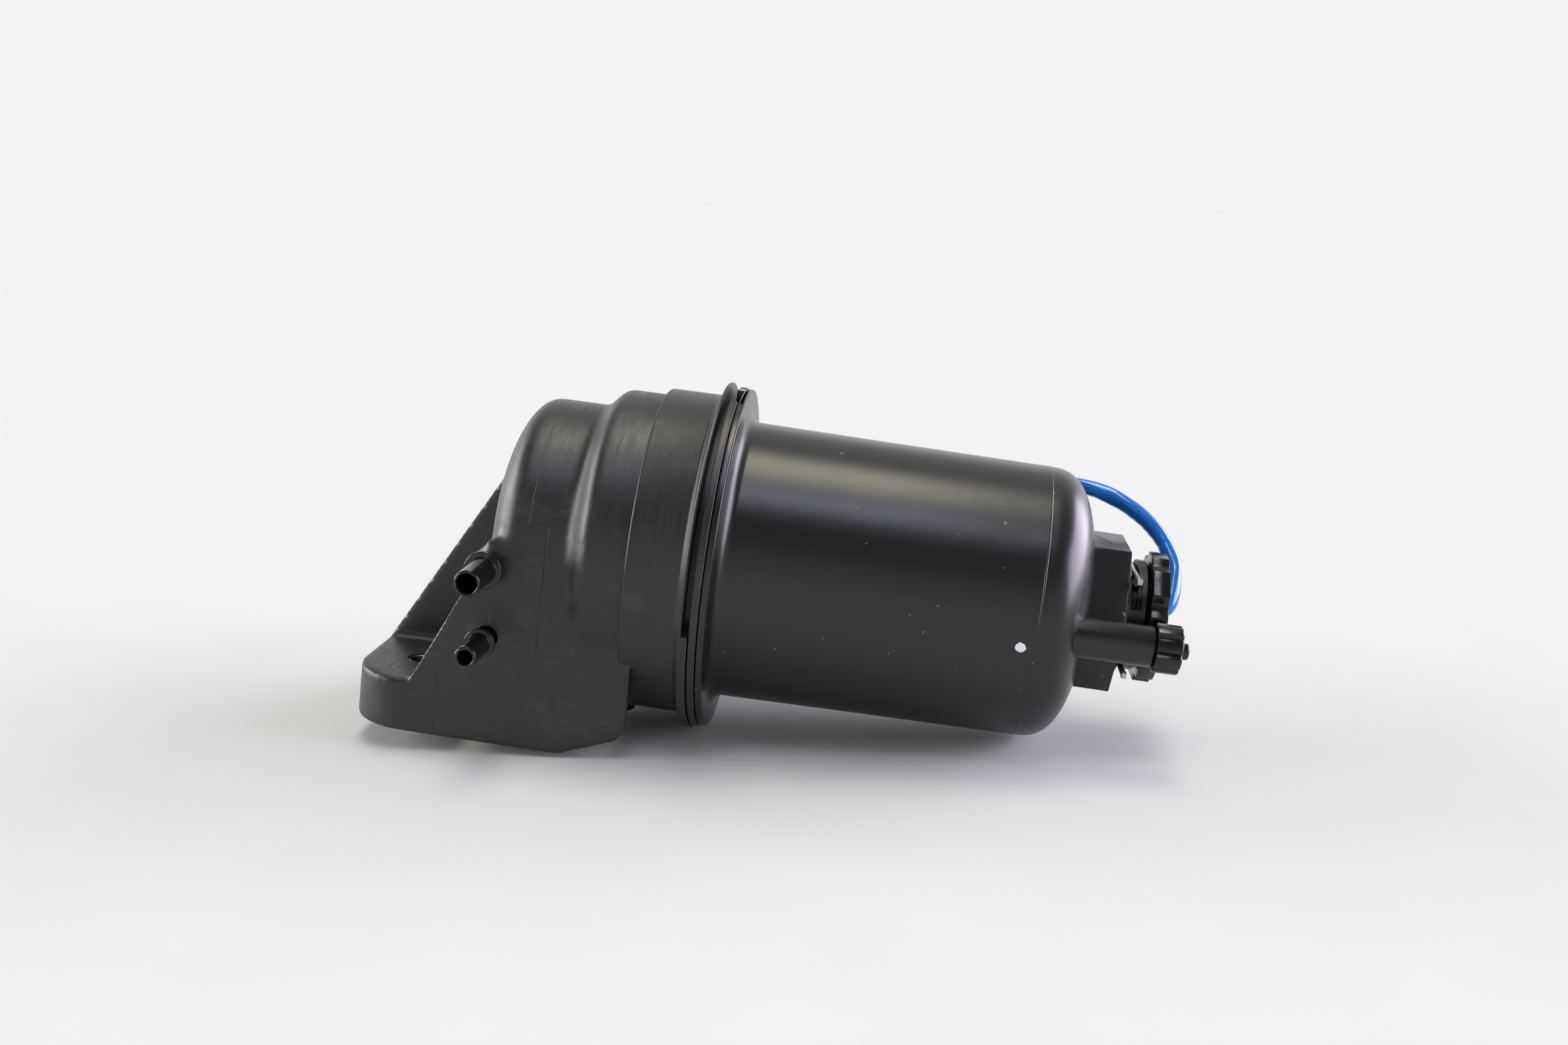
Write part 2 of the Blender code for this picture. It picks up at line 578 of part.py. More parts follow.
def make_bowl(mat):
    inner_r = BOWL_END_R - BOWL_WALL
    inside = [(-NECK_LENGTH, NECK_R - NECK_WALL), (bowl_flange_x() + 2, NECK_R - NECK_WALL),
              (bowl_flange_x() + 8, BOWL_START_R - BOWL_WALL)]
    inside += dome(BOWL_END_X, inner_r, BOWL_DOME_DEPTH - BOWL_WALL, BOWL_DOME_POWER, 6)
    bowl = turned("bowl", bowl_outer_points() + inside[::-1])
    hexagon = [(HEX_R * cos(k * pi / 3), HEX_R * sin(k * pi / 3)) for k in range(6)]
    dome_inner_x = BOWL_END_X + BOWL_DOME_DEPTH - BOWL_WALL
    drain = place(0, DRAIN_Y, DRAIN_Z) @ ALONG_X
    additions = [
        slab_x("hex_boss", [hexagon], dome_inner_x + 0.1, HEX_END_X, cutter=True),
        turned("sensor_port", [(dome_inner_x + 1, 0), (dome_inner_x + 1, PORT_R), (PORT_END_X, PORT_R),
                               (PORT_END_X, 0)], steps=36, cutter=True),
        turned("port_disc", [(HEX_END_X - 1, 0), (HEX_END_X - 1, PORT_R + PORT_DISC_OVER),
                             (HEX_END_X + PORT_DISC_T, PORT_R + PORT_DISC_OVER), (HEX_END_X + PORT_DISC_T, 0)],
               steps=36, cutter=True),
        rod("drain_tube", BOWL_END_X + 8, DRAIN_END_X, DRAIN_TUBE_R, drain, cutter=True),
    ]
    for part in additions:
        boolean(bowl, part, "UNION")
    port = [(BOWL_END_X, 0), (BOWL_END_X, NOSE_R + GAP), (PORT_SEAT_X, NOSE_R + GAP),
            (PORT_SEAT_X, PORT_BORE_R), (PORT_END_X + 1, PORT_BORE_R), (PORT_END_X + 1, 0)]
    boolean(bowl, turned("port_bore", port, steps=36, cutter=True))
    boolean(bowl, rod("drain_bore", BOWL_END_X, DRAIN_END_X + 1, DRAIN_BORE_R, drain, cutter=True))
    cut_clip_slots(bowl)
    return finish(bowl, mat)


def cut_clip_slots(bowl):
    """Slots above and below the port for the clip's two legs, and the pocket round the upper tip."""
    half = CLIP_WIRE / 2 + GAP
    for side, label in ((1, "upper"), (-1, "lower")):
        z0, z1 = sorted((side * (CLIP_LEG_Z - half), side * (PORT_R + 1)))
        boolean(bowl, box("clip_slot_" + label, (CLIP_X - half, -PORT_R, z0), (CLIP_X + half, PORT_R, z1),
                          cutter=True))


def make_bowl_seal(mat):
    return finish(o_ring("bowl_seal", SEAL_GROOVE_X, NECK_R - SEAL_R + 0.1, SEAL_R - 0.15, major_sides=ROUND), mat)


# ---------------------------------------------------------------- filter element
def make_media(mat):
    """Pleated paper ring: one folded sheet of even thickness."""
    outer, inner = [], []
    for k in range(PLEATS):
        for radius, shift in ((MEDIA_R, 0.0), (MEDIA_BORE_R + PLEAT_T, 0.5)):
            angle = 2 * pi * (k + shift) / PLEATS
            outer.append((radius * cos(angle), radius * sin(angle)))
            inner_r = radius - PLEAT_T * 2.2 if shift == 0 else radius - PLEAT_T
            inner.append((inner_r * cos(angle), inner_r * sin(angle)))
    x0 = ELEMENT_X + CAP_DISC_T + GAP
    x1 = ELEMENT_END_X - CAP_DISC_T - GAP
    return finish(slab_x("filter_media", [outer, inner], x0, x1), mat)


def make_element_caps(mat):
    upper = [(ELEMENT_X, STUB_R + GAP), (ELEMENT_X, ELEMENT_R), (ELEMENT_X + CAP_DISC_T, ELEMENT_R),
             (ELEMENT_X + CAP_DISC_T, HUB_R), (ELEMENT_X + 9, HUB_R), (ELEMENT_X + 9, HUB_BORE_R),
             (ELEMENT_X + 3, HUB_BORE_R), (ELEMENT_X + 3, STUB_R + GAP)]
    finish(turned("element_cap_upper", upper, steps=32), mat)
    start = ELEMENT_END_X - CAP_DISC_T
    lower = [(start, 0), (start, ELEMENT_R), (ELEMENT_END_X, ELEMENT_R), (ELEMENT_END_X, SPRING_R + 3),
             (ELEMENT_END_X - 1, SPRING_R + 2.2), (ELEMENT_END_X - 1, 0)]
    finish(turned("element_cap_lower", lower, steps=32), mat)


def make_core_tube(mat):
    """Support tube inside the media, open through windows in its wall."""
    x0 = ELEMENT_X + CAP_DISC_T + GAP
    x1 = ELEMENT_END_X - CAP_DISC_T - GAP
    ring = [(x0, CORE_R - CORE_WALL), (x0, CORE_R), (x1, CORE_R), (x1, CORE_R - CORE_WALL)]
    tube = turned("core_tube", ring, steps=24)
    pitch = (x1 - x0) / CORE_WINDOWS
    for k in range(CORE_WINDOWS):
        start = x0 + pitch * (k + 0.2)
        for label, low, high in (("y", (-CORE_R - 1, -8), (CORE_R + 1, 8)), ("z", (-8, -CORE_R - 1), (8, CORE_R + 1))):
            boolean(tube, box("window_%s_%d" % (label, k), (start, *low), (start + pitch * 0.6, *high), cutter=True))
    return finish(tube, mat)


def make_element_seal(mat):
    middle = (STUB_R + HUB_BORE_R) / 2
    section = (HUB_BORE_R - STUB_R) / 2 - GAP
    return finish(o_ring("element_seal", ELEMENT_X + 5, middle, section, major_sides=28), mat)


def make_element_spring(mat):
    """Coil spring that holds the element up against the head's standpipe."""
    x0 = ELEMENT_END_X - 1 + GAP + SPRING_WIRE_R
    x1 = BOWL_END_X + (BOWL_DOME_DEPTH - BOWL_WALL) - 0.9 - SPRING_WIRE_R
    count = SPRING_TURNS * 10
    points = []
    for k in range(count + 1):
        angle = 2 * pi * SPRING_TURNS * k / count
        points.append((x0 + (x1 - x0) * k / count, SPRING_R * cos(angle), SPRING_R * sin(angle)))
    curve = wire_curve("element_spring", points, SPRING_WIRE_R)
    return finish(curve_to_mesh("element_spring", curve, Matrix.Identity(4)), mat)


# ---------------------------------------------------------------- drain valve
def make_drain_valve(knob_mat, stem_mat, seal_mat):
    axis = place(0, DRAIN_Y, DRAIN_Z)
    knob_x = DRAIN_END_X + GAP
    knob = extruded("drain_knob", [lobed(KNOB_R, KNOB_R - 1.2, KNOB_LOBES), lobed_bore()], KNOB_LENGTH,
                    axis @ place(knob_x + KNOB_LENGTH / 2, 0, 0) @ PLANE_YZ)
    finish(knob, knob_mat)
    groove = (DRAIN_BORE_R - STEM_GROOVE_R) / 2
    stem = [(STEM_START_X, 0), (STEM_START_X, STEM_R - 1.5), (STEM_START_X + 2, STEM_R),
            (DRAIN_SEAL_X - 1.3, STEM_R), (DRAIN_SEAL_X - 1.3, STEM_GROOVE_R),
            (DRAIN_SEAL_X + 1.3, STEM_GROOVE_R),
            (DRAIN_SEAL_X + 1.3, STEM_R), (knob_x + KNOB_LENGTH, STEM_R),
            (knob_x + KNOB_LENGTH, NOZZLE_R), (NOZZLE_END_X - 0.5, NOZZLE_R),
            (NOZZLE_END_X, NOZZLE_R - 0.5), (NOZZLE_END_X, 0)]
    finish(turned("drain_stem", stem, axis @ ALONG_X, FINE), stem_mat)
    seal = o_ring("drain_seal", DRAIN_SEAL_X, STEM_GROOVE_R + groove, groove - 0.15, (DRAIN_Y, DRAIN_Z), 24)
    finish(seal, seal_mat)


def lobed_bore():
    """Round hole through the knob that the stem passes through."""
    radius = STEM_R + GAP
    return [(radius * cos(a), radius * sin(a)) for a in np.linspace(0, 2 * pi, 24, endpoint=False)]


# ---------------------------------------------------------------- water sensor
def make_sensor(body_mat, metal_mat, seal_mat):
    body = turned("sensor_body", sensor_profile(), steps=36)
    cap = slab_x("sensor_cap_lobes", [lobed(CAP_R, CAP_VALLEY_R, CAP_LOBES, 8)], CAP_X, CAP_X + CAP_T, cutter=True)
    boolean(body, cap, "UNION")
    boolean(body, rod("lead_hole", LEAD_ROUTE[0][0] - GAP, CAP_X + CAP_T + 1, GLAND_R + GAP,
                      place(0, *LEAD_ROUTE[0][1:]) @ ALONG_X, cutter=True))
    for side, label in ((-1, "near"), (1, "far")):
        y = side * PROBE_SPACING / 2
        hole = rod("probe_hole_" + label, NOSE_END_X - 1, NOSE_END_X + 8, PROBE_R + GAP, place(0, y, 0) @ ALONG_X,
                   16, cutter=True)
        boolean(body, hole)
        finish(rod("sensor_probe_" + label, PROBE_END_X, NOSE_END_X + 8 - GAP, PROBE_R,
                   place(0, y, 0) @ ALONG_X, 16), metal_mat)
    finish(body, body_mat)
    middle = (PLUG_R - 2.2 + PORT_BORE_R) / 2
    finish(o_ring("sensor_seal", SENSOR_SEAL_X, middle, (PORT_BORE_R - PLUG_R + 2.2) / 2 - GAP, major_sides=36),
           seal_mat)


def sensor_profile():
    """Plug with a clip groove and a seal groove, and the slim nose that reaches into the water."""
    clip = CLIP_WIRE / 2 + GAP
    seat = PORT_SEAT_X + GAP
    clip_r = CLIP_LEG_Z - CLIP_WIRE / 2 - GAP
    return [(NOSE_END_X, 0), (NOSE_END_X, NOSE_R - 1), (NOSE_END_X + 1, NOSE_R), (seat, NOSE_R), (seat, PLUG_R),
            (SENSOR_SEAL_X - 1.5, PLUG_R), (SENSOR_SEAL_X - 1.5, PLUG_R - 2.2), (SENSOR_SEAL_X + 1.5, PLUG_R - 2.2),
            (SENSOR_SEAL_X + 1.5, PLUG_R), (CLIP_X - clip, PLUG_R), (CLIP_X - clip, clip_r), (CLIP_X + clip, clip_r),
            (CLIP_X + clip, PLUG_R), (CAP_X + 0.5, PLUG_R), (CAP_X + 0.5, 0)]


def make_sensor_clip(mat):
    """U-shaped wire clip: two straight legs through the port's slots, joined by a bend behind it."""
    radius = CLIP_LEG_Z
    bend = [(CLIP_X, CLIP_BEND_Y + radius * sin(a) * 0.45, radius * cos(a)) for a in np.linspace(0, pi, 11)]
    points = [(CLIP_X, CLIP_TIP_Y, radius)] + bend + [(CLIP_X, CLIP_TIP_Y, -radius)]
    curve = wire_curve("sensor_clip", points, CLIP_WIRE / 2)
    return finish(curve_to_mesh("sensor_clip", curve, Matrix.Identity(4)), mat)


# ---------------------------------------------------------------- sensor lead
def make_lead(sleeve_mat, plastic_mat, rubber_mat):
    path = smooth_path(LEAD_ROUTE, LEAD_POINTS)
    curve = wire_curve("sensor_lead", path, LEAD_R, 2)
    finish(curve_to_mesh("sensor_lead", curve, Matrix.Identity(4)), sleeve_mat)
    start, end = LEAD_ROUTE[0][0] + 0.6, CAP_X + CAP_T
    gland = [(start, GLAND_BORE_R), (start, GLAND_R), (end, GLAND_R), (end, GLAND_BORE_R)]
    finish(turned("lead_gland", gland, place(0, *LEAD_ROUTE[0][1:]) @ ALONG_X, FINE), rubber_mat)
    make_connector(plastic_mat)
    make_lead_clip(plastic_mat)


def around_axis(point):
    """Matrix at a point of the lead, with local Z pointing away from the canister axis."""
    x, y, z = point
    return place(x, 0, 0) @ Matrix.Rotation(-atan2(y, z), 4, "X"), (y ** 2 + z ** 2) ** 0.5


def make_connector(mat):
    matrix, radial = around_axis(LEAD_ROUTE[-1])
    body = box("lead_connector", (-CONNECTOR_LENGTH - GAP, -CONNECTOR_W / 2, radial - CONNECTOR_H / 2),
               (-3 * GAP, CONNECTOR_W / 2, radial + CONNECTOR_H / 2), bevel=0.8, matrix=matrix)
    half_w = CONNECTOR_W / 2 - CONNECTOR_WALL
    half_h = CONNECTOR_H / 2 - CONNECTOR_WALL
    socket = box("connector_socket", (-CONNECTOR_LENGTH - 1, -half_w, radial - half_h),
                 (-CONNECTOR_LENGTH + SOCKET_DEPTH, half_w, radial + half_h), cutter=True, matrix=matrix)
    boolean(body, socket)
    return finish(body, mat)


def make_lead_clip(mat):
    """Saddle on the bowl that the lead snaps into from outside."""
    path = smooth_path(LEAD_ROUTE, 400)
    here = path[np.argmin(np.abs(path[:, 0] - LEAD_CLIP_X))]
    matrix, radial = around_axis((LEAD_CLIP_X, here[1], here[2]))
    foot = BOWL_START_R + GAP
    mouth = LEAD_R * 0.72
    hook = [(-LEAD_R - 2.2, foot), (LEAD_R + 2.2, foot), (LEAD_R + 2.2, radial + LEAD_R * 0.8)]
    angles = np.linspace(pi / 2 - 0.8, pi / 2 - 2 * pi + 0.8, 17)
    grip_r = LEAD_R + LEAD_CLIP_GAP
    grip = [(grip_r * cos(a), radial + grip_r * sin(a)) for a in angles]
    outline = hook + [(mouth, grip[0][1] + 0.2)] + grip + [(-mouth, grip[-1][1] + 0.2)]
    outline += [(-LEAD_R - 2.2, radial + LEAD_R * 0.8)]
    clip = extruded("lead_clip", [outline], LEAD_CLIP_LENGTH, matrix @ PLANE_YZ)
    return finish(clip, mat)


# ---------------------------------------------------------------- lying position
def rest_tilt():
    """Angle between the canister axis and the floor, with the heel and the bowl's end both touching."""
    heel = -BASE_Z
    return min(atan2(heel - r, x - HEEL_X) for x, r in bowl_outer_points() if x > 0 and r > BOWL_END_R / 2)


def stand_on_floor():
    """Tilt the assembly, then centre its bounding box over the origin with its lowest point at Z = 0."""
    ASSEMBLY.rotation_euler = (0, rest_tilt(), 0)
    bpy.context.view_layer.update()
    depsgraph = bpy.context.evaluated_depsgraph_get()
    corners = []
    for obj in PARTS.objects:
        evaluated = obj.evaluated_get(depsgraph)
        corners += [evaluated.matrix_world @ v.co for v in evaluated.data.vertices]
    low = np.min(corners, axis=0)
    high = np.max(corners, axis=0)
    ASSEMBLY.location = (-(low[0] + high[0]) / 2, -(low[1] + high[1]) / 2, -low[2])


for old in list(bpy.data.objects):
    bpy.data.objects.remove(old)
PARTS = new_collection(NAME)
CUTTERS = new_collection("cutters")
ASSEMBLY = bpy.data.objects.new("assembly_frame", None)
bpy.context.scene.collection.objects.link(ASSEMBLY)


def build():
    head_black = material("glass_filled_nylon", (0.022, 0.022, 0.024), 0.62)
    bowl_black = material("moulded_nylon", (0.012, 0.012, 0.014), 0.34)
    gloss_black = material("gloss_black_plastic", (0.008, 0.008, 0.009), 0.16)
    steel = material("zinc_plated_steel", (0.62, 0.62, 0.6), 0.3, 1.0)
    rubber = material("nitrile_rubber", (0.015, 0.015, 0.015), 0.8)
    paper = material("filter_paper", (0.78, 0.66, 0.42), 0.9)
    white = material("glass_filled_white_plastic", (0.7, 0.7, 0.66), 0.5)
    blue = material("blue_sleeve", (0.0, 0.13, 0.5), 0.25)
    make_head(head_black)
    make_bushes(steel)
    make_spigots(gloss_black)
    make_lock_ring(head_black)
    make_bowl(bowl_black)
    make_bowl_seal(rubber)
    make_media(paper)
    make_element_caps(white)
    make_core_tube(white)
    make_element_seal(rubber)
    make_element_spring(steel)
    make_drain_valve(bowl_black, bowl_black, rubber)
    make_sensor(bowl_black, steel, rubber)
    make_sensor_clip(steel)
    make_lead(blue, bowl_black, rubber)
    stand_on_floor()


build()
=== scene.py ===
"""Fuel filter canister on its moulded bracket, lying on a pale studio floor.

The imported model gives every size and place. Each visible piece gets a finely moulded skin here and
a material worked out from what the real piece is made of. Sizes below are millimetres in the
canister's own frame: X along its axis towards the drain, X = 0 where head and bowl meet, Z away
from the bracket's mounting face, and -Y towards the hose spigots.
"""
import json
from math import atan2, cos, hypot, pi, radians, sin
import bpy
import numpy as np
from mathutils import Matrix, Vector


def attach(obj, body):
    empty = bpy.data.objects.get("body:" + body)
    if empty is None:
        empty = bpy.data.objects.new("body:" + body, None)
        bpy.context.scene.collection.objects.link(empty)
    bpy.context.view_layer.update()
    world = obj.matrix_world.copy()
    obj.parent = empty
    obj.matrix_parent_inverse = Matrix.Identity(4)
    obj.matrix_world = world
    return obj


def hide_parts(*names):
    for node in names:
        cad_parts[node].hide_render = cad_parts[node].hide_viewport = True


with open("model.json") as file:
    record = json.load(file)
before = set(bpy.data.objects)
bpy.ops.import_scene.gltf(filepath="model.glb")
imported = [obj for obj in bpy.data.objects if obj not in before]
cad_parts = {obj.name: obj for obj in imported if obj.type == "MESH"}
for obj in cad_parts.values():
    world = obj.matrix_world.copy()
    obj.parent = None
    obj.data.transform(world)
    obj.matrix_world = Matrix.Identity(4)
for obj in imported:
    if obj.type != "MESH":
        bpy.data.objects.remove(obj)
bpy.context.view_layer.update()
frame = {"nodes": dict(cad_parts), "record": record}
MM = 0.001
EYE = (0.05861, -0.59160, 0.20154)
PAPER_GLOW = 0.93          # how bright the lit paper is, so that the room beyond it looks the same

bowl_turn = next(j for j in frame["record"]["behaviour"]["joints"] if j["name"] == "bowl_turn")
AXIS = Vector(bowl_turn["axis"])
LYING = Matrix.Translation(Vector(bowl_turn["pos_m"])) @ Matrix.Rotation(atan2(-AXIS.z, AXIS.x), 4, "Y")


# ---------------------------------------------------------------- studio: camera, lights and floor
def studio():
    camera_data = bpy.data.cameras.new("camera")
    camera_data.sensor_width = 36.0
    camera_data.lens = 36.99
    camera_data.clip_start = 0.01
    camera = bpy.data.objects.new("camera", camera_data)
    camera.location = EYE
    camera.rotation_euler = (radians(78.523), radians(-0.883), radians(5.519))
    bpy.context.scene.collection.objects.link(camera)
    bpy.context.scene.camera = camera
    bpy.context.scene.view_settings.view_transform = "Standard"
    bpy.context.scene.world = soft_room()
    bpy.ops.mesh.primitive_plane_add(size=60.0, location=(0, 0, -0.0002))
    floor = bpy.context.object
    floor.name = "studio_floor"
    floor.data.materials.append(floor_paper())


def soft_room():
    """Pale room: a warm softbox overhead with a cool strip beside it, and one to the left and right."""
    world = bpy.data.worlds.new("pale_studio")
    world.use_nodes = True
    way = add(world, "TexCoord").outputs["Generated"]
    axes = add(world, "SeparateXYZ", {0: way})
    x, y, z = (axes.outputs[i] for i in range(3))
    lamps = [
        ("#FFF8E0", 9.0, [(x, -0.12, 0.15, 0.08), (y, -0.10, 0.34, 0.08), (z, 0.3, 2.0, 0.1)]),
        ("#DFE5FF", 6.0, [(x, -0.12, 0.17, 0.07), (y, -0.50, -0.20, 0.05), (z, 0.3, 2.0, 0.1)]),
        ("#FFFFFF", 6.5, [(x, -2.0, -0.70, 0.06), (y, -0.45, 0.5, 0.1), (z, -0.12, 0.5, 0.06)]),
        ("#F3EBFF", 8.0, [(x, 0.62, 2.0, 0.06), (y, -0.35, 0.9, 0.1), (z, -0.2, 0.55, 0.06)]),
    ]
    room = maths(world, "ADD", span(world, z, 0.2, 0.6, 0.62, 0.14), span(world, y, -0.1, 0.75, 0.0, 0.5))
    total, colour = room, "#FBFAFC"
    for tone, strength, sides in lamps:
        patch = window(world, sides)
        total = maths(world, "ADD", total, maths(world, "MULTIPLY", patch, strength))
        colour = tint(world, patch, colour, tone)
    seen = add(world, "LightPath").outputs["Is Camera Ray"]
    glow = add(world, "Mix", {"Factor": seen, "A": total}, {"B": PAPER_GLOW}, data_type="FLOAT")
    back = world.node_tree.nodes["Background"]
    link(world, tint(world, seen, colour, "#FBFAFC"), back.inputs["Color"])
    link(world, glow.outputs["Result"], back.inputs["Strength"])
    return world


def window(world, sides):
    """Soft-edged patch of sky: each side is a direction's part, its low and high limits and its softness."""
    mask = None
    for value, low, high, soft in sides:
        side = maths(world, "MULTIPLY", span(world, value, low - soft, low + soft),
                     span(world, value, high - soft, high + soft, 1.0, 0.0))
        mask = maths(world, "MULTIPLY", mask, side) if mask else side
    return mask


# ---------------------------------------------------------------- shader nodes
def linear(code):
    """Linear RGBA of an sRGB hex colour."""
    channels = [int(code[i:i + 2], 16) / 255 for i in (1, 3, 5)]
    return tuple(c / 12.92 if c <= 0.04045 else ((c + 0.055) / 1.055) ** 2.4 for c in channels) + (1.0,)


def add(mat, kind, links=None, values=None, **settings):
    """Add one node with its settings, its inputs' fixed values and the sockets that feed it."""
    node = mat.node_tree.nodes.new("ShaderNode" + kind)
    for key, value in settings.items():
        setattr(node, key, value)
    for key, value in (values or {}).items():
        node.inputs[key].default_value = value
    for key, socket in (links or {}).items():
        mat.node_tree.links.new(socket, node.inputs[key])
    return node


def finish_of(name, colour, roughness, metallic=0.0, ior=None):
    """A new material with its Principled shader, and coordinates in the canister's frame, in mm."""
    mat = bpy.data.materials.new(name)
    mat.use_nodes = True
    shader = mat.node_tree.nodes["Principled BSDF"]
    shader.inputs["Base Color"].default_value = linear(colour)
    shader.inputs["Roughness"].default_value = roughness
    shader.inputs["Metallic"].default_value = metallic
    if ior:
        shader.inputs["IOR"].default_value = ior
    back = LYING.inverted()
    where = add(mat, "TexCoord").outputs["Object"]
    mapping = add(mat, "Mapping", {"Vector": where}, {"Location": back.translation / MM,
                  "Rotation": back.to_euler(), "Scale": (1 / MM,) * 3})
    return mat, shader, mapping.outputs["Vector"]


def link(mat, socket, target):
    mat.node_tree.links.new(socket, target)


def grain(mat, place, size, detail=3.0, stretch=(1, 1, 1), roughness=0.55, distortion=0.0):
    """Noise whose smallest blotches are about size mm across, longer along a stretched axis."""
    scaled = add(mat, "VectorMath", {0: place}, {1: tuple(1 / s for s in stretch)}, operation="MULTIPLY")
    noise = add(mat, "TexNoise", {"Vector": scaled.outputs[0]},
                {"Scale": 1 / size, "Detail": detail, "Roughness": roughness, "Distortion": distortion})
    return noise.outputs["Fac"]


def span(mat, socket, low, high, to_low=0.0, to_high=1.0, smooth=True):
    """Remap a value, held at both ends."""
    node = add(mat, "MapRange", {"Value": socket}, {"From Min": low, "From Max": high, "To Min": to_low,
               "To Max": to_high}, interpolation_type="SMOOTHSTEP" if smooth else "LINEAR")
    return node.outputs["Result"]


def maths(mat, operation, first, second=None):
    node = add(mat, "Math", operation=operation)
    for i, value in enumerate((first, second)):
        if isinstance(value, (int, float)):
            node.inputs[i].default_value = value
        elif value is not None:
            link(mat, value, node.inputs[i])
    return node.outputs[0]


def tint(mat, factor, first, second):
    """Colour that goes from the first to the second with the factor."""
    mix = add(mat, "Mix", data_type="RGBA")
    for i, value in ((6, first), (7, second)):
        if isinstance(value, str):
            mix.inputs[i].default_value = linear(value)
        else:
            link(mat, value, mix.inputs[i])
    link(mat, factor, mix.inputs[0])
    return mix.outputs[2]


def relief(mat, shader, heights):
    """Chain of bumps, each with its depth in mm; the last feeds the shader."""
    normal = None
    for height, depth in heights:
        bump = add(mat, "Bump", {"Height": height}, {"Strength": 1.0, "Distance": depth * MM})
        if normal:
            link(mat, normal, bump.inputs["Normal"])
        normal = bump.outputs["Normal"]
    link(mat, normal, shader.inputs["Normal"])


def near_line(mat, value, at, half_width):
    """1 on a thin line where the value is at, 0 beside it."""
    distance = maths(mat, "ABSOLUTE", maths(mat, "SUBTRACT", value, at))
    return span(mat, distance, half_width * 0.4, half_width, 1.0, 0.0)


def between(mat, value, low, high):
    above = maths(mat, "GREATER_THAN", value, low)
    return maths(mat, "MULTIPLY", above, maths(mat, "LESS_THAN", value, high))


# ---------------------------------------------------------------- materials
def floor_paper():
    """Matt studio paper: too rough to show a sheen, with a faint mottle from its fibres."""
    mat = bpy.data.materials.new("matt_backdrop_paper")
    mat.use_nodes = True
    shader = mat.node_tree.nodes["Principled BSDF"]
    shader.inputs["Roughness"].default_value = 1.0
    shader.inputs["Specular IOR Level"].default_value = 0.0
    mottle = grain(mat, add(mat, "TexCoord").outputs["Object"], 0.06, 2.0)
    link(mat, tint(mat, mottle, "#C8CAC8", "#CCCECC"), shader.inputs["Base Color"])
    return mat


def glass_filled_nylon():
    """PA66 with glass fibre, moulded in an eroded tool: dull black with a fine silky grain.

    The flow of the melt leaves faint streaks round the canister, handling leaves pale dusty smears,
    and the tool's inserts leave hair lines beside the spigots.
    """
    mat, shader, place = finish_of("glass_filled_nylon", "#1C1C1D", 0.46, ior=1.53)
    pebble = grain(mat, place, 0.35, 2.0)                            # eroded grain, drawn at 0.35 mm
    streak = grain(mat, place, 0.6, 4.0, stretch=(1, 26, 26))        # flow streaks 0.6 mm wide
    cloud = grain(mat, place, 14.0, 5.0, roughness=0.6)
    smear = span(mat, grain(mat, place, 22.0, 6.0, stretch=(1, 1, 0.6), roughness=0.68), 0.5, 0.74)
    black = tint(mat, cloud, "#161617", "#232324")
    dusty = tint(mat, maths(mat, "MULTIPLY", smear, 0.32), black, "#4A4A4B")
    rough = maths(mat, "ADD", span(mat, streak, 0.3, 0.7, 0.33, 0.45), maths(mat, "MULTIPLY", smear, 0.12))
    link(mat, rough, shader.inputs["Roughness"])
    axes = add(mat, "SeparateXYZ", {0: place})
    x, y, z = (axes.outputs[i] for i in range(3))
    near = maths(mat, "LESS_THAN", y, -20.0)
    seams = [
        maths(mat, "MULTIPLY", near_line(mat, x, -55.1, 0.22), between(mat, z, -38.0, 13.3)),
        maths(mat, "MULTIPLY", near_line(mat, z, 13.3, 0.22), between(mat, x, -62.6, -55.0)),
        maths(mat, "MULTIPLY", near_line(mat, x, -62.5, 0.22), between(mat, z, 13.3, 47.0)),
        maths(mat, "MULTIPLY", near_line(mat, x, -90.2, 0.28), between(mat, z, -70.0, -45.0)),
        maths(mat, "MULTIPLY", near_line(mat, x, -72.9, 0.20), between(mat, z, -24.0, -9.0)),
    ]
    seam = seams[0]
    for other in seams[1:]:
        seam = maths(mat, "MAXIMUM", seam, other)
    seam = maths(mat, "MULTIPLY", seam, near)
    link(mat, tint(mat, maths(mat, "MULTIPLY", seam, 0.75), dusty, "#080808"), shader.inputs["Base Color"])
    relief(mat, shader, [(pebble, 0.034), (streak, 0.008), (cloud, 0.22), (seam, -0.18)])
    return mat


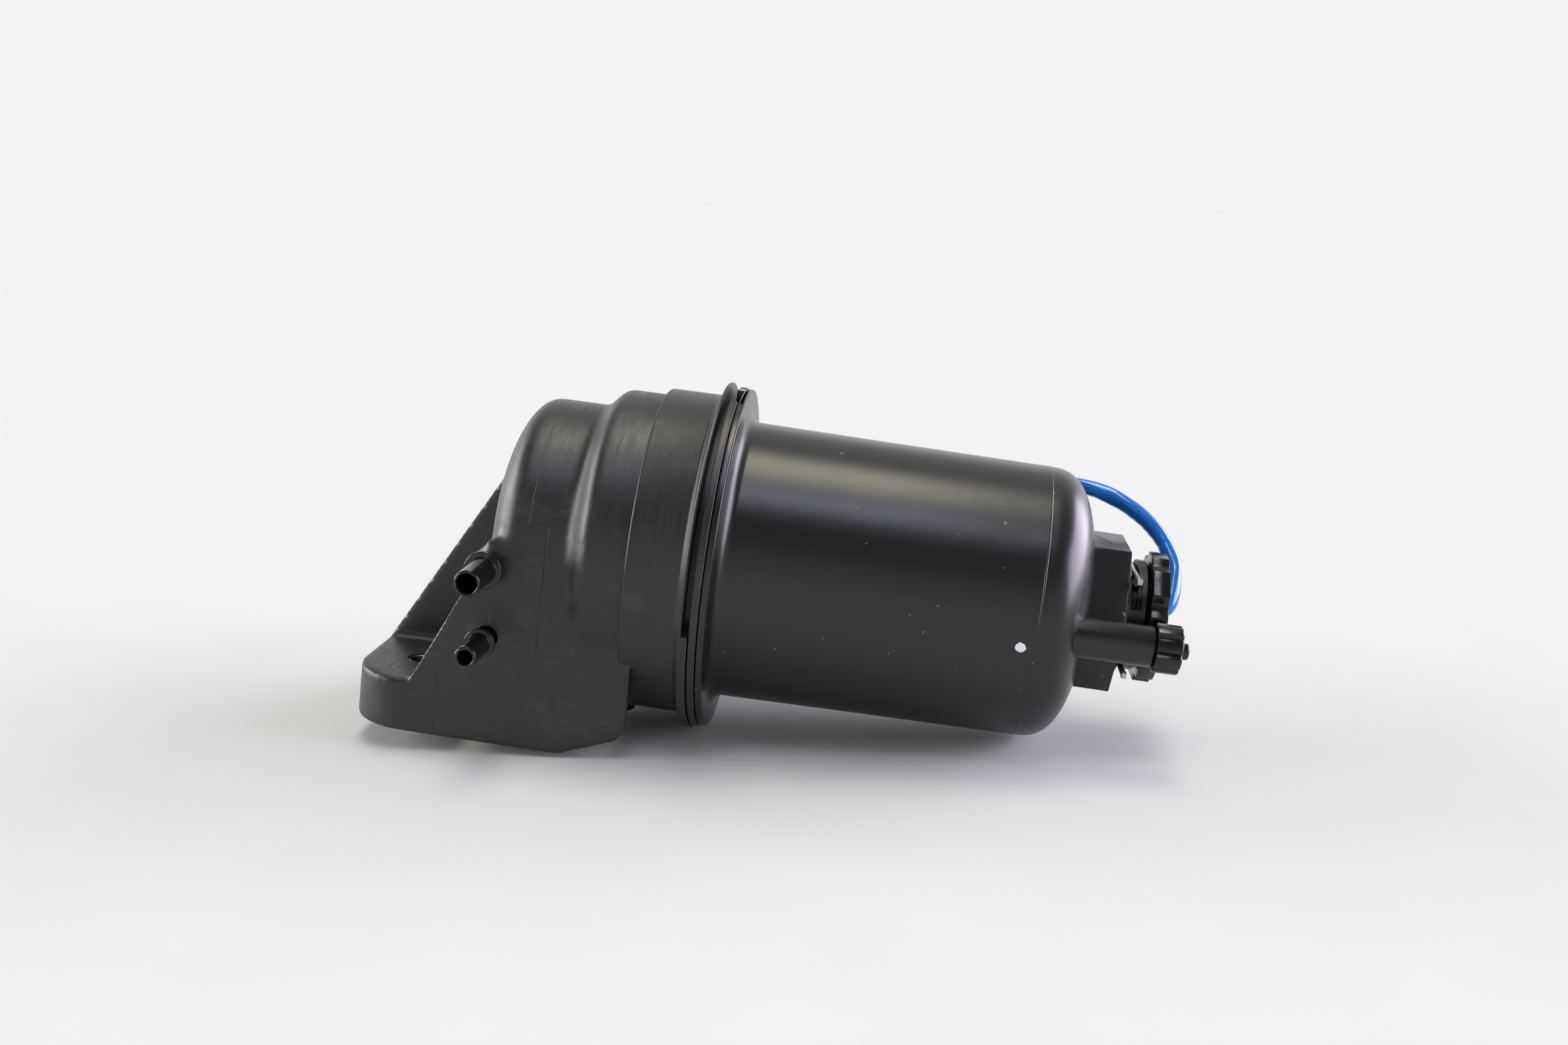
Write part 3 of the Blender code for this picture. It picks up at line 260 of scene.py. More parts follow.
def moulded_nylon():
    """Unfilled PA66, moulded in a turned and polished tool: black with a broad satin shine.

    Fine rings of the turned tool run round it, a few small nicks are dented in and painted pale grey as a
    painted glint, and one dab of white marking paint sits beside the weld line.
    """
    mat, shader, place = finish_of("moulded_nylon", "#101011", 0.3, ior=1.53)
    axes = add(mat, "SeparateXYZ", {0: place})
    x, y, z = (axes.outputs[i] for i in range(3))
    fine = grain(mat, place, 0.4, 2.0)
    rings = grain(mat, place, 0.45, 3.0, stretch=(1, 40, 40))        # turning marks 0.45 mm apart
    cloud = grain(mat, place, 20.0, 4.0)
    # small dents; the pale grey paint that they get below is a painted glint, not a colour of the plastic
    nick_and_glint = span(mat, grain(mat, place, 3.2, 1.0), 0.77, 0.8)
    black = tint(mat, cloud, "#0D0D0E", "#161617")
    radial = maths(mat, "SQRT", maths(mat, "ADD", maths(mat, "MULTIPLY", maths(mat, "SUBTRACT", x, 115.0),
                   maths(mat, "SUBTRACT", x, 115.0)), maths(mat, "MULTIPLY", maths(mat, "ADD", z, 5.2),
                   maths(mat, "ADD", z, 5.2))))
    ragged = maths(mat, "ADD", radial, maths(mat, "MULTIPLY", grain(mat, place, 1.6, 2.0), 1.2))
    dab = maths(mat, "MULTIPLY", span(mat, ragged, 2.35, 2.5, 1.0, 0.0), maths(mat, "LESS_THAN", y, -40.0))
    # painted glint: the nicks are painted pale grey as if they caught the light
    black_with_nick_glints = tint(mat, nick_and_glint, black, "#5A5A5A")
    link(mat, tint(mat, dab, black_with_nick_glints, "#E8EDF2"), shader.inputs["Base Color"])
    rough = maths(mat, "ADD", span(mat, rings, 0.3, 0.7, 0.285, 0.30), maths(mat, "MULTIPLY", dab, 0.3))
    link(mat, rough, shader.inputs["Roughness"])
    relief(mat, shader, [(fine, 0.016), (rings, 0.0015), (cloud, 0.10), (nick_and_glint, 0.05), (dab, 0.12)])
    return mat


def polished_black(name, colour, roughness, scale):
    """Black thermoplastic from a polished tool: nearly mirror bright, with a light orange peel."""
    mat, shader, place = finish_of(name, colour, roughness, ior=1.5)
    peel = grain(mat, place, scale, 2.0)
    rub = grain(mat, place, scale * 4, 5.0, roughness=0.7)
    link(mat, span(mat, rub, 0.35, 0.75, roughness * 0.8, roughness * 1.7), shader.inputs["Roughness"])
    link(mat, tint(mat, rub, colour, "#131314"), shader.inputs["Base Color"])
    relief(mat, shader, [(peel, 0.02)])
    return mat


def nickel_wire():
    """Nickel-plated spring wire: warm pale metal with drawing lines along it and dull spots."""
    mat, shader, place = finish_of("nickel_plated_wire", "#C9C2B4", 0.28, metallic=1.0)
    lines = grain(mat, place, 0.25, 3.0, stretch=(1, 12, 1))
    spots = grain(mat, place, 1.5, 4.0)
    link(mat, span(mat, spots, 0.35, 0.7, 0.2, 0.42), shader.inputs["Roughness"])
    link(mat, tint(mat, spots, "#D2CBBE", "#A39C8E"), shader.inputs["Base Color"])
    relief(mat, shader, [(lines, 0.01)])
    return mat


def turned_metal(name, colour, roughness):
    """Turned sleeve: metal with fine lathe rings and a slightly uneven plating."""
    mat, shader, place = finish_of(name, colour, roughness, metallic=1.0)
    rings = grain(mat, place, 0.3, 3.0, stretch=(14, 14, 1))
    plating = grain(mat, place, 2.5, 4.0)
    link(mat, span(mat, plating, 0.3, 0.7, roughness * 0.8, roughness * 1.5), shader.inputs["Roughness"])
    relief(mat, shader, [(rings, 0.012)])
    return mat


def nitrile():
    """Nitrile rubber: soft dull black with a fine bloom."""
    mat, shader, place = finish_of("nitrile_rubber", "#19191A", 0.78, ior=1.52)
    bloom = grain(mat, place, 1.2, 5.0)
    link(mat, tint(mat, bloom, "#141415", "#262627"), shader.inputs["Base Color"])
    relief(mat, shader, [(bloom, 0.04)])
    return mat


def filter_paper():
    """Resin-treated filter paper: warm straw colour with short fibres."""
    mat, shader, place = finish_of("filter_paper", "#D9C38F", 0.9, ior=1.5)
    fibres = grain(mat, place, 0.5, 4.0, stretch=(6, 1, 1), distortion=0.6)
    link(mat, tint(mat, fibres, "#C9B27C", "#E4D2A3"), shader.inputs["Base Color"])
    relief(mat, shader, [(fibres, 0.06)])
    return mat


def white_plastic():
    """Glass-filled white plastic of the element's caps: ivory with pale fibre flecks."""
    mat, shader, place = finish_of("glass_filled_white_plastic", "#D8D6CC", 0.5, ior=1.5)
    flecks = grain(mat, place, 0.6, 4.0, stretch=(4, 1, 1))
    link(mat, tint(mat, flecks, "#CFCDC2", "#E4E2DA"), shader.inputs["Base Color"])
    relief(mat, shader, [(flecks, 0.02)])
    return mat


def blue_sleeve():
    """Soft PVC sleeve over two wires: saturated blue, glossy, paler where it is stretched thin."""
    mat, shader, place = finish_of("blue_pvc_sleeve", "#0A6CBF", 0.16, ior=1.53)
    stretch = grain(mat, place, 5.0, 3.0)
    fine = grain(mat, place, 0.8, 3.0)
    link(mat, tint(mat, stretch, "#045AA8", "#0E7AD2"), shader.inputs["Base Color"])
    link(mat, span(mat, fine, 0.3, 0.75, 0.12, 0.26), shader.inputs["Roughness"])
    shader.inputs["Coat Weight"].default_value = 0.4
    shader.inputs["Coat Roughness"].default_value = 0.08
    relief(mat, shader, [(stretch, 0.12), (fine, 0.012)])
    return mat


# ---------------------------------------------------------------- modelling in the canister's frame
def edit(obj, mode="VERT"):
    bpy.ops.object.mode_set(mode="OBJECT") if bpy.context.mode != "OBJECT" else None
    bpy.ops.object.select_all(action="DESELECT")
    bpy.context.view_layer.objects.active = obj
    obj.select_set(True)
    bpy.ops.object.mode_set(mode="EDIT")
    bpy.ops.mesh.select_mode(type=mode)


def leave():
    bpy.ops.object.mode_set(mode="OBJECT")


def pick(obj, mode, test):
    """Select the vertices, edges or faces whose middle (in mm) passes the test."""
    edit(obj, mode)
    bpy.ops.mesh.select_all(action="DESELECT")
    leave()
    mesh = obj.data
    if mode == "VERT":
        for v in mesh.vertices:
            v.select = bool(test(v.co / MM, v.normal))
    elif mode == "EDGE":
        for e in mesh.edges:
            a, b = (mesh.vertices[i].co / MM for i in e.vertices)
            e.select = bool(test((a + b) / 2, (b - a).normalized()))
    else:
        for f in mesh.polygons:
            f.select = bool(test(f.center / MM, f.normal))
    bpy.ops.object.mode_set(mode="EDIT")


def block(name, low, high):
    """Cube at its size and place."""
    bpy.ops.object.select_all(action="DESELECT")
    middle = [(a + b) / 2 * MM for a, b in zip(low, high)]
    sides = [(b - a) * MM for a, b in zip(low, high)]
    bpy.ops.mesh.primitive_cube_add(size=1.0, location=middle, scale=sides)
    obj = bpy.context.object
    obj.name = name
    bpy.ops.object.transform_apply(location=True, rotation=True, scale=True)
    return obj


def rod(name, radius, start, end, sides=48):
    """Cylinder between two points."""
    bpy.ops.object.select_all(action="DESELECT")
    start, end = Vector(start) * MM, Vector(end) * MM
    turn = (end - start).to_track_quat("Z", "Y").to_euler()
    bpy.ops.mesh.primitive_cylinder_add(vertices=sides, radius=radius * MM, depth=(end - start).length,
                                        location=(start + end) / 2, rotation=turn)
    obj = bpy.context.object
    obj.name = name
    bpy.ops.object.transform_apply(location=True, rotation=True, scale=True)
    return obj


def slice_off(obj, point, normal):
    """Cut away what lies beyond a plane and close the cut."""
    edit(obj)
    bpy.ops.mesh.select_all(action="SELECT")
    bpy.ops.mesh.bisect(plane_co=Vector(point) * MM, plane_no=Vector(normal).normalized(), use_fill=True,
                        clear_outer=True)
    leave()


def soften(obj, width, segments, test, mode="EDGE"):
    """Bevel the picked edges."""
    pick(obj, mode, test)
    bpy.ops.mesh.bevel(offset=width * MM, segments=segments, profile=0.5)
    leave()


def spun(name, profile, sides=128, axis="X", centre=(0, 0, 0), closed=False, sweep=360.0, start=0.0):
    """Turned piece: a profile of (along, radius) points drawn point by point, then spun round its axis."""
    to_point = {
        "X": lambda a, r: Vector((a, centre[1] + r * sin(start), centre[2] + r * cos(start))),
        "Y": lambda a, r: Vector((centre[0], a, centre[2] + r)),
        "Z": lambda a, r: Vector((centre[0] + r, centre[1], a)),
    }[axis]
    points = [to_point(a, r) * MM for a, r in profile]
    bpy.ops.object.select_all(action="DESELECT")
    bpy.ops.mesh.primitive_plane_add(size=MM, location=(0, 0, 0))
    obj = bpy.context.object
    obj.name = name
    edit(obj)
    bpy.ops.mesh.select_all(action="SELECT")
    bpy.ops.mesh.merge(type="CENTER")
    bpy.ops.transform.translate(value=points[0])
    for a, b in zip(points, points[1:]):
        bpy.ops.mesh.extrude_region_move(TRANSFORM_OT_translate={"value": b - a})
    bpy.ops.mesh.select_all(action="SELECT")
    if closed:
        bpy.ops.mesh.edge_face_add()
    turn_axis = {"X": (1, 0, 0), "Y": (0, 1, 0), "Z": (0, 0, 1)}[axis]
    bpy.ops.mesh.spin(steps=sides, angle=radians(sweep), center=Vector(centre) * MM, axis=turn_axis)
    bpy.ops.mesh.select_all(action="SELECT")
    bpy.ops.mesh.remove_doubles(threshold=0.001 * MM)
    bpy.ops.mesh.normals_make_consistent(inside=False)
    leave()
    return obj


def outlined(name, points, axis, low, high):
    """Flat outline drawn point by point, filled and extruded along an axis, in mm."""
    to_point = {"X": lambda u, v, d: Vector((d, u, v)), "Y": lambda u, v, d: Vector((u, d, v)),
                "Z": lambda u, v, d: Vector((u, v, d))}[axis]
    bpy.ops.object.select_all(action="DESELECT")
    bpy.ops.mesh.primitive_circle_add(vertices=len(points), radius=MM, fill_type="NGON")
    obj = bpy.context.object
    obj.name = name
    for vertex, (u, v) in zip(obj.data.vertices, points):
        vertex.co = to_point(u, v, low) * MM
    edit(obj, "FACE")
    bpy.ops.mesh.select_all(action="SELECT")
    bpy.ops.mesh.extrude_region_move(TRANSFORM_OT_translate={"value": to_point(0, 0, high - low) * MM})
    bpy.ops.mesh.select_all(action="SELECT")
    bpy.ops.mesh.normals_make_consistent(inside=False)
    leave()
    return obj


def apply_modifier(obj, kind, **settings):
    bpy.ops.object.select_all(action="DESELECT")
    bpy.context.view_layer.objects.active = obj
    obj.select_set(True)
    modifier = obj.modifiers.new(kind.lower(), kind)
    for key, value in settings.items():
        setattr(modifier, key, value)
    bpy.ops.object.modifier_apply(modifier=modifier.name)


def boolean(obj, tools, operation):
    """Join the tool pieces to a body, or cut them out of it.

    The slivers that a cut leaves are merged before the next one, which is only dependable on a closed body.
    """
    for tool in tools:
        apply_modifier(obj, "BOOLEAN", object=tool, operation=operation, solver="EXACT")
        bpy.data.objects.remove(tool)
        edit(obj)
        bpy.ops.mesh.select_all(action="SELECT")
        bpy.ops.mesh.remove_doubles(threshold=0.002 * MM)
        leave()


def joined(name, parts):
    bpy.ops.object.select_all(action="DESELECT")
    for part in parts:
        part.select_set(True)
    bpy.context.view_layer.objects.active = parts[0]
    bpy.ops.object.join()
    parts[0].name = name
    return parts[0]


def settle(obj, body, nodes, mat, angle=32.0, tidy=True):
    """Finish a piece: shading, finish, its place in the world, and the body that it moves with."""
    obj.data.materials.clear()
    obj.data.materials.append(mat)
    if tidy:
        edit(obj)
        bpy.ops.mesh.select_all(action="SELECT")
        bpy.ops.mesh.remove_doubles(threshold=0.002 * MM)
        leave()
    bpy.ops.object.select_all(action="DESELECT")
    bpy.context.view_layer.objects.active = obj
    obj.select_set(True)
    bpy.ops.object.shade_smooth_by_angle(angle=radians(angle))
    obj.matrix_world = LYING
    bpy.ops.object.transform_apply(location=True, rotation=True, scale=True)
    if nodes:
        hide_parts(*nodes)
    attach(obj, body)
    return obj


def blend(x0, r0, x1, r1, steps=12):
    """Soft S-shaped step of a turned profile."""
    return [(x0 + (x1 - x0) * t, r0 + (r1 - r0) * (1 - cos(pi * t)) / 2)
            for t in np.linspace(0, 1, steps + 1)]


def squared_dome(x0, radius, depth, power, steps=26):
    """Squared dome from its rim to its pole."""
    points = []
    for t in np.linspace(0, pi / 2, steps + 1):
        points.append((x0 + depth * sin(t) ** (2 / power), radius * max(cos(t), 0.0) ** (2 / power)))
    points[-1] = (x0 + depth, 0.0)
    return points


def arc(cx, cr, radius, start, end, steps=5):
    """Points of a small edge radius in a profile, angles in degrees from +X."""
    return [(cx + radius * cos(radians(a)), cr + radius * sin(radians(a)))
            for a in np.linspace(start, end, steps + 1)]


# ---------------------------------------------------------------- head with its bracket
PLATE_Y = 51.8
PLATE_T = 3.5
BASE_Z = -70.0
EAR_TOP_Z = -50.0
EAR_X = -124.4
EAR_END_X = -84.0
BUSH_X = -104.5
BUSH_Y = 25.0
STEP_R = 58.5
BARREL_R = 51.5
SPIGOT_AT = {"outlet_spigot": (-75.6, -3.8), "inlet_spigot": (-73.5, -29.3)}


def side_plate(name, outer, inner):
    """Side plate: flat foot, sloped heel, and a diagonal from the ear up to the head's dome."""
    low, high = sorted((outer, inner))
    plate = block(name, (EAR_X + 21, low, BASE_Z), (-20.0, high, 2.0))
    slice_off(plate, (-101.0, 0, -50.0), (-52.0, 0, 25.0))
    slice_off(plate, (-45.0, 0, BASE_Z), (8.0, 0, -21.0))
    slice_off(plate, (-24.0, 0, -62.0), (1.0, 0, -1.0))
    return plate


def head_body():
    """Everything of the head that flows together in one moulding, before its sharp cuts."""
    dome = [(-66.0 - (x + 66.0), r) for x, r in squared_dome(-66.0, BARREL_R, 16.4, 2.25, 20)]
    barrel = [(-18.0, 0.0), (-18.0, STEP_R)] + blend(-39.5, STEP_R, -49.0, BARREL_R, 14) + dome
    near = side_plate("near_plate", -PLATE_Y, -PLATE_Y + PLATE_T)
    far = side_plate("far_plate", PLATE_Y, PLATE_Y - PLATE_T)
    ear = block("ear", (EAR_X, -PLATE_Y, BASE_Z), (EAR_END_X, PLATE_Y, EAR_TOP_Z))
    soften(ear, 21.0, 12, lambda c, d: abs(d.z) > 0.9 and c.x < EAR_X + 1)
    rib = block("middle_rib", (EAR_X, -1.75, BASE_Z), (-34.0, 1.75, 29.6))
    slice_off(rib, (EAR_X, 0, EAR_TOP_Z), (-79.6, 0, 45.4))
    web = block("heel_web", (-35.7, -49.3, -66.2), (-32.3, 49.3, -28.0))
    boss = rod("heel_boss", 9.0, (-34, 0, -66.1), (-34, 0, -50))
    parts = [spun("head_soft_body", barrel, 160), near, far, ear, rib, web, boss]
    parts.append(rod("outlet_boss", 6.6, (-75.6, -PLATE_Y + 2.5, -3.8), (-75.6, -20, -3.8), 64))
    parts.append(rod("inlet_boss", 5.4, (-73.5, -PLATE_Y - 1.3, -29.3), (-73.5, -20, -29.3), 64))
    parts.append(block("ledge", (-77.5, -51.2, -12.0), (-60.0, -47.0, 6.0)))
    return joined("head_skin", parts)


def head():
    body = head_body()
    apply_modifier(body, "REMESH", mode="VOXEL", voxel_size=1.15 * MM, adaptivity=0.0)
    apply_modifier(body, "SMOOTH", factor=0.5, iterations=4)
    pick(body, "VERT", lambda c, n: abs(c.y) > 40 and -30 < c.z < 12 and -80 < c.x < -40)
    bpy.ops.mesh.vertices_smooth(factor=0.5, repeat=14)
    leave()
    flange = [(0, 50), (0, 66.0), (-0.3, 66.3), (-2.9, 66.3), (-3.2, 66.0)] + blend(-3.4, 62.6, -5.8, 61.1, 5)
    collar = flange + [(-24.2, 61.0)] + arc(-24.2, 60.0, 1.0, 90, 180, 5)
    collar += [(-25.25, 58.6), (-25.6, 58.0), (-25.6, 50)]
    boolean(body, [spun("collar", collar + [collar[0]], 160)], "UNION")
    cavity = [(1, 0), (1, 58.0), (-17.5, 58.0), (-19.5, 55.0)] + blend(-36.0, 55.0, -45.5, 48.0, 6)
    cavity += [(-66.0 - (x + 66.0), r) for x, r in squared_dome(-66.0, 48.0, 12.9, 2.25, 10)]
    boolean(body, [spun("cavity", cavity, 96)], "DIFFERENCE")
    tools = [spun("flange_gap", [(-2.3, 58.2), (-2.3, 68), (1, 68), (1, 58.2)], 120, sweep=207.0,
                  start=radians(-103.5), closed=True)]
    for name, (x, z) in SPIGOT_AT.items():
        tube, bore, end = (4.75, 3.6, 0) if name == "outlet_spigot" else (3.95, 2.65, -6)
        seat = [(-62, 0), (-62, tube + 0.3), (-32, tube + 0.3), (-32, bore), (end, bore), (end, 0)]
        tools.append(spun(name + "_seat", seat, 48, "Y", (x, 0, z)))
    for side in (-1, 1):
        y = side * BUSH_Y
        tools.append(rod("bush_hole", 5.3, (BUSH_X, y, BASE_Z - 2), (BUSH_X, y, -40), 48))
    boolean(body, tools, "DIFFERENCE")
    return body


def standpipe():
    """Pipe on the axis inside the head, fed by a cross pipe from the outlet spigot."""
    pipe = spun("standpipe_skin", [(-76.0, 0), (-76.0, 8), (20, 8), (21, 7), (21, 0)], 64)
    boolean(pipe, [rod("cross_pipe", 6.0, (-75.6, -44, -3.8), (-75.6, 7, -3.8), 48)], "UNION")
    boolean(pipe, [rod("pipe_bore", 5.0, (-74, 0, 0), (22, 0, 0), 48),
                   rod("cross_bore", 3.6, (-75.6, -45, -3.8), (-75.6, 0, -3.8), 48)], "DIFFERENCE")
    return pipe


def lock_ring():
    """Flat ring behind the head's rim, open at the top, with a fine edge radius."""
    section = [(0.3, 58.6), (0.3, 64.9)] + arc(0.6, 64.9, 0.3, 180, 90, 3) + arc(2.7, 64.9, 0.3, 90, 0, 3)
    section += [(3.0, 58.6)]
    return spun("lock_ring_skin", section, 150, sweep=326.8, start=radians(16.6), closed=True)


def spigot(name):
    """Quick-connect spigot: rounded lead-in at its mouth, one sharp bead, and a root in its boss."""
    x, z = SPIGOT_AT[name]
    if name == "outlet_spigot":
        tube, bore, bead, tip, bead_y = 4.75, 3.6, 6.9, -77.0, -56.5
    else:
        tube, bore, bead, tip, bead_y = 3.95, 2.65, 5.5, -79.0, -61.0
    profile = [(-32.3, bore), (tip + 0.5, bore), (tip + 0.15, bore + 0.12), (tip, bore + 0.35)]
    profile += arc(tip + 0.7, tube - 0.75, 0.7, 180, 120, 4) + [(tip + 2.2, tube)]
    profile += [(bead_y - 1.7, tube), (bead_y - 1.2, tube + 0.25), (bead_y - 1.0, bead - 0.6)]
    profile += arc(bead_y - 0.6, bead - 0.4, 0.4, 180, 90, 4) + arc(bead_y + 0.6, bead - 0.4, 0.4, 90, 0, 4)
    profile += [(bead_y + 1.0, tube + 0.2), (bead_y + 1.4, tube), (-32.3, tube), (-32.3, bore)]
    return spun(name + "_skin", profile, 72, "Y", (x, 0, z))


def bush(name, side):
    """Rolled steel bush: chamfered ends and a fine slit where its sheet edges meet."""
    top = EAR_TOP_Z - 0.2
    profile = [(BASE_Z, 4.45), (BASE_Z, 4.7), (BASE_Z + 0.3, 5.0), (top - 0.3, 5.0), (top, 4.7), (top, 4.45),
               (top - 0.3, 4.15), (BASE_Z + 0.3, 4.15), (BASE_Z, 4.45)]
    sleeve = spun(name, profile, 56, "Z", (BUSH_X, side * BUSH_Y, 0))
    y = side * BUSH_Y
    slit = block("slit", (BUSH_X + 3, y - 0.12, BASE_Z - 1), (BUSH_X + 6, y + 0.12, top + 1))
    boolean(sleeve, [slit], "DIFFERENCE")
    return sleeve


# ---------------------------------------------------------------- bowl
DRAIN_Y = -37.5
DRAIN_Z = -1.8
CLIP_X = 155.9


def bowl():
    """Bowl with its flange, neck, hexagon, sensor port and drain tube."""
    neck = [(-16, 53.4), (-16, 56.6), (-15.0, 57.6), (-12.5, 57.6), (-12.5, 54.8), (-8.7, 54.8), (-8.7, 57.6)]
    flange = [(3.3, 57.6), (3.3, 64.2)] + arc(3.7, 64.2, 0.4, 180, 90, 3) + arc(5.2, 64.1, 0.5, 90, 0, 4)
    quarter = np.linspace(0, pi / 2, 8)
    fillet = [(5.75, 60.0)] + [(5.8 + 4.4 * (1 - cos(a)), 57.4 - 4.9 * sin(a)) for a in quarter]
    wall = [(60.0, 51.75), (119.75, 51.02), (119.95, 51.16), (120.3, 51.16), (120.5, 50.98)]
    outside = squared_dome(120.6, 50.96, 20.6, 2.65, 34)[1:]
    inside = [(5.3, 53.4), (11.3, 49.5)] + squared_dome(120.2, 48.0, 18.0, 2.65, 14)
    shell = spun("bowl_skin", neck + flange + fillet + wall + outside + inside[::-1] + [neck[0]], 192)
    hexagon = [(31 * cos(k * pi / 3), 31 * sin(k * pi / 3)) for k in range(6)]
    nut = outlined("hexagon", hexagon, "X", 138.3, 152.6)
    soften(nut, 0.45, 2, lambda c, d: c.x > 139)
    port = [(139.2, 0), (139.2, 21), (152.2, 21), (152.2, 23), (153.7, 23), (154.1, 22.6), (154.1, 21.0),
            (154.5, 20.8), (160.2, 20.8), (160.8, 20.2), (161.3, 19.4), (161.3, 0)]
    tube = [(128.0, 0), (128.0, 7.35), (161.2, 7.35), (161.6, 7.2), (162.0, 6.8), (162.0, 0)]
    pins = [nut, spun("port", port, 96), spun("drain_tube", tube, 72, "X", (0, DRAIN_Y, DRAIN_Z))]
    boolean(shell, pins, "UNION")
    bore = [(120, 0), (120, 9.9), (143, 9.9), (143, 18.6), (163, 18.6), (163, 0)]
    drain_bore = rod("drain_bore", 4.3, (120, DRAIN_Y, DRAIN_Z), (163, DRAIN_Y, DRAIN_Z))
    tools = [spun("port_bore", bore, 72), drain_bore]
    for side in (-1, 1):
        low, high = sorted((side * 16.15, side * 22.5))
        tools.append(block("clip_slot", (CLIP_X - 1.45, -21.2, low), (CLIP_X + 1.45, 21.2, high)))
    tools.append(block("clip_pocket", (CLIP_X - 1.6, -22.5, 6.5), (CLIP_X + 2.6, -12.0, 16.4)))
    slot = [(3.95, 58.5), (3.95, 66), (4.95, 66), (4.95, 58.5)]
    tools.append(spun("rim_slot", slot, 24, sweep=34.0, start=radians(-17.0), closed=True))
    boolean(shell, tools, "DIFFERENCE")
    return shell


def latch_finger():
    """Springy tongue on the bowl's rim that stands up through the opening of the lock ring."""
    tongue = block("latch_finger_skin", (0.7, -3.0, 58.6), (3.5, 9.5, 64.6))
    slice_off(tongue, (0.9, 8.5, 0), (-0.86, 0.5, 0))
    slice_off(tongue, (0, 9.0, 60.0), (0, 0.95, 0.3))
    soften(tongue, 0.35, 3, lambda c, d: c.x < 3.4)
    pick(tongue, "FACE", lambda c, n: n.z > 0.9)
    bpy.ops.mesh.inset(thickness=0.5 * MM, depth=-0.25 * MM)
    leave()
    bpy.ops.object.select_all(action="DESELECT")
    tongue.select_set(True)
    bpy.context.view_layer.objects.active = tongue
    return tongue


def lobed_outline(radius, valley, lobes, share, steps):
    """Wide lobes with narrow round valleys."""
    points = []
    for k in range(lobes * steps):
        angle = 2 * pi * k / (lobes * steps)
        phase = (k % steps) / steps
        away = min(phase, 1 - phase) * 2 / share
        dip = (1 + cos(pi * min(away, 1.0))) / 2
        reach = radius - (radius - valley) * dip
        points.append((reach * cos(angle), reach * sin(angle)))
    return points


def drain_knob():
    """Ribbed drain knob: eight flats with narrow grooves, and a rounded outer rim."""
    outline = [(u + DRAIN_Y, v + DRAIN_Z) for u, v in lobed_outline(8.8, 7.7, 8, 0.42, 16)]
    knob = outlined("drain_knob_skin", outline, "X", 162.3, 171.5)
    soften(knob, 0.9, 4, lambda c, d: c.x > 171.4)
    soften(knob, 0.3, 2, lambda c, d: c.x < 162.4)
    boolean(knob, [rod("knob_bore", 4.3, (161, DRAIN_Y, DRAIN_Z), (173, DRAIN_Y, DRAIN_Z))], "DIFFERENCE")
    return knob


def drain_stem():
    """Drain screw: seal groove near its point, and a short barbed nozzle outside the knob."""
    profile = [(138, 0), (138, 2.5), (140, 4.0), (144.7, 4.0), (144.7, 2.3), (147.3, 2.3), (147.3, 4.0),
               (171.5, 4.0), (171.6, 3.0), (173.7, 3.0), (174.1, 2.85), (174.4, 2.5), (174.4, 1.4),
               (172.0, 1.3), (172.0, 0)]
    return spun("drain_stem_skin", profile, 56, "X", (0, DRAIN_Y, DRAIN_Z))


# ---------------------------------------------------------------- water sensor and its lead
LEAD_ROUTE = [
    (164.6, 0.0, 3.2), (166.9, 0.0, 3.2), (169.2, 0.1, 3.4), (171.2, 1.0, 5.0), (172.5, 3.4, 8.4),
    (173.0, 7.2, 12.8), (172.6, 12.2, 17.6), (170.5, 17.8, 22.9), (166.3, 22.0, 27.9), (160.3, 25.4, 32.7),
    (151.8, 29.0, 37.0), (142.1, 33.6, 39.6), (132.0, 38.2, 39.6), (122.0, 42.8, 37.2), (112.0, 46.8, 33.8),
    (102.0, 49.4, 30.6), (90.3, 50.2, 29.2),
]


def sensor_body():
    """Sensor plug with its clip groove and seal groove, and an eight-lobed cap with cut corners."""
    profile = [(134.5, 0), (134.5, 8.6), (135.5, 9.6), (143.3, 9.6), (143.3, 18.3), (148.1, 18.3),
               (148.1, 16.1), (151.1, 16.1), (151.1, 18.3), (154.45, 18.3), (154.45, 16.15),
               (157.35, 16.15), (157.35, 18.3), (161.5, 18.3), (162.0, 17.8), (162.0, 0)]
    body = spun("sensor_body_skin", profile, 96)
    outline = []
    for k in range(8):
        for turn, radius in ((-13.0, 24.5), (13.0, 24.5), (19.0, 22.6), (26.0, 22.6)):
            angle = radians(45.0 * k + turn)
            outline.append((radius * cos(angle), radius * sin(angle)))
    cap = outlined("cap", outline, "X", 161.7, 168.2)
    soften(cap, 0.5, 2, lambda c, d: True)
    rim = spun("cap_rim", [(167.5, 0), (167.5, 15.5), (168.3, 15.5), (168.6, 15.2), (168.6, 0)], 72)
    boolean(body, [cap, rim], "UNION")
    tools = [rod("lead_hole", 5.25, (164.3, 0, 3.2), (170, 0, 3.2))]
    for side in (-1, 1):
        tools.append(rod("probe_hole", 1.5, (133.5, side * 4.5, 0), (142.5, side * 4.5, 0), 24))
    boolean(body, tools, "DIFFERENCE")
    return body


def tube_along(name, points, radius, sides):
    """Round tube along a line of points, with closed ends."""
    curve = bpy.data.curves.new(name, "CURVE")
    curve.dimensions = "3D"
    curve.bevel_depth = radius * MM
    curve.bevel_resolution = sides // 4
    curve.use_fill_caps = True
    spline = curve.splines.new("POLY")
    spline.points.add(len(points) - 1)
    for point, co in zip(spline.points, points):
        point.co = (*(Vector(co) * MM), 1.0)
    obj = bpy.data.objects.new(name, curve)
    bpy.context.scene.collection.objects.link(obj)
    bpy.ops.object.select_all(action="DESELECT")
    bpy.context.view_layer.objects.active = obj
    obj.select_set(True)
    bpy.ops.object.convert(target="MESH")
    return bpy.context.object


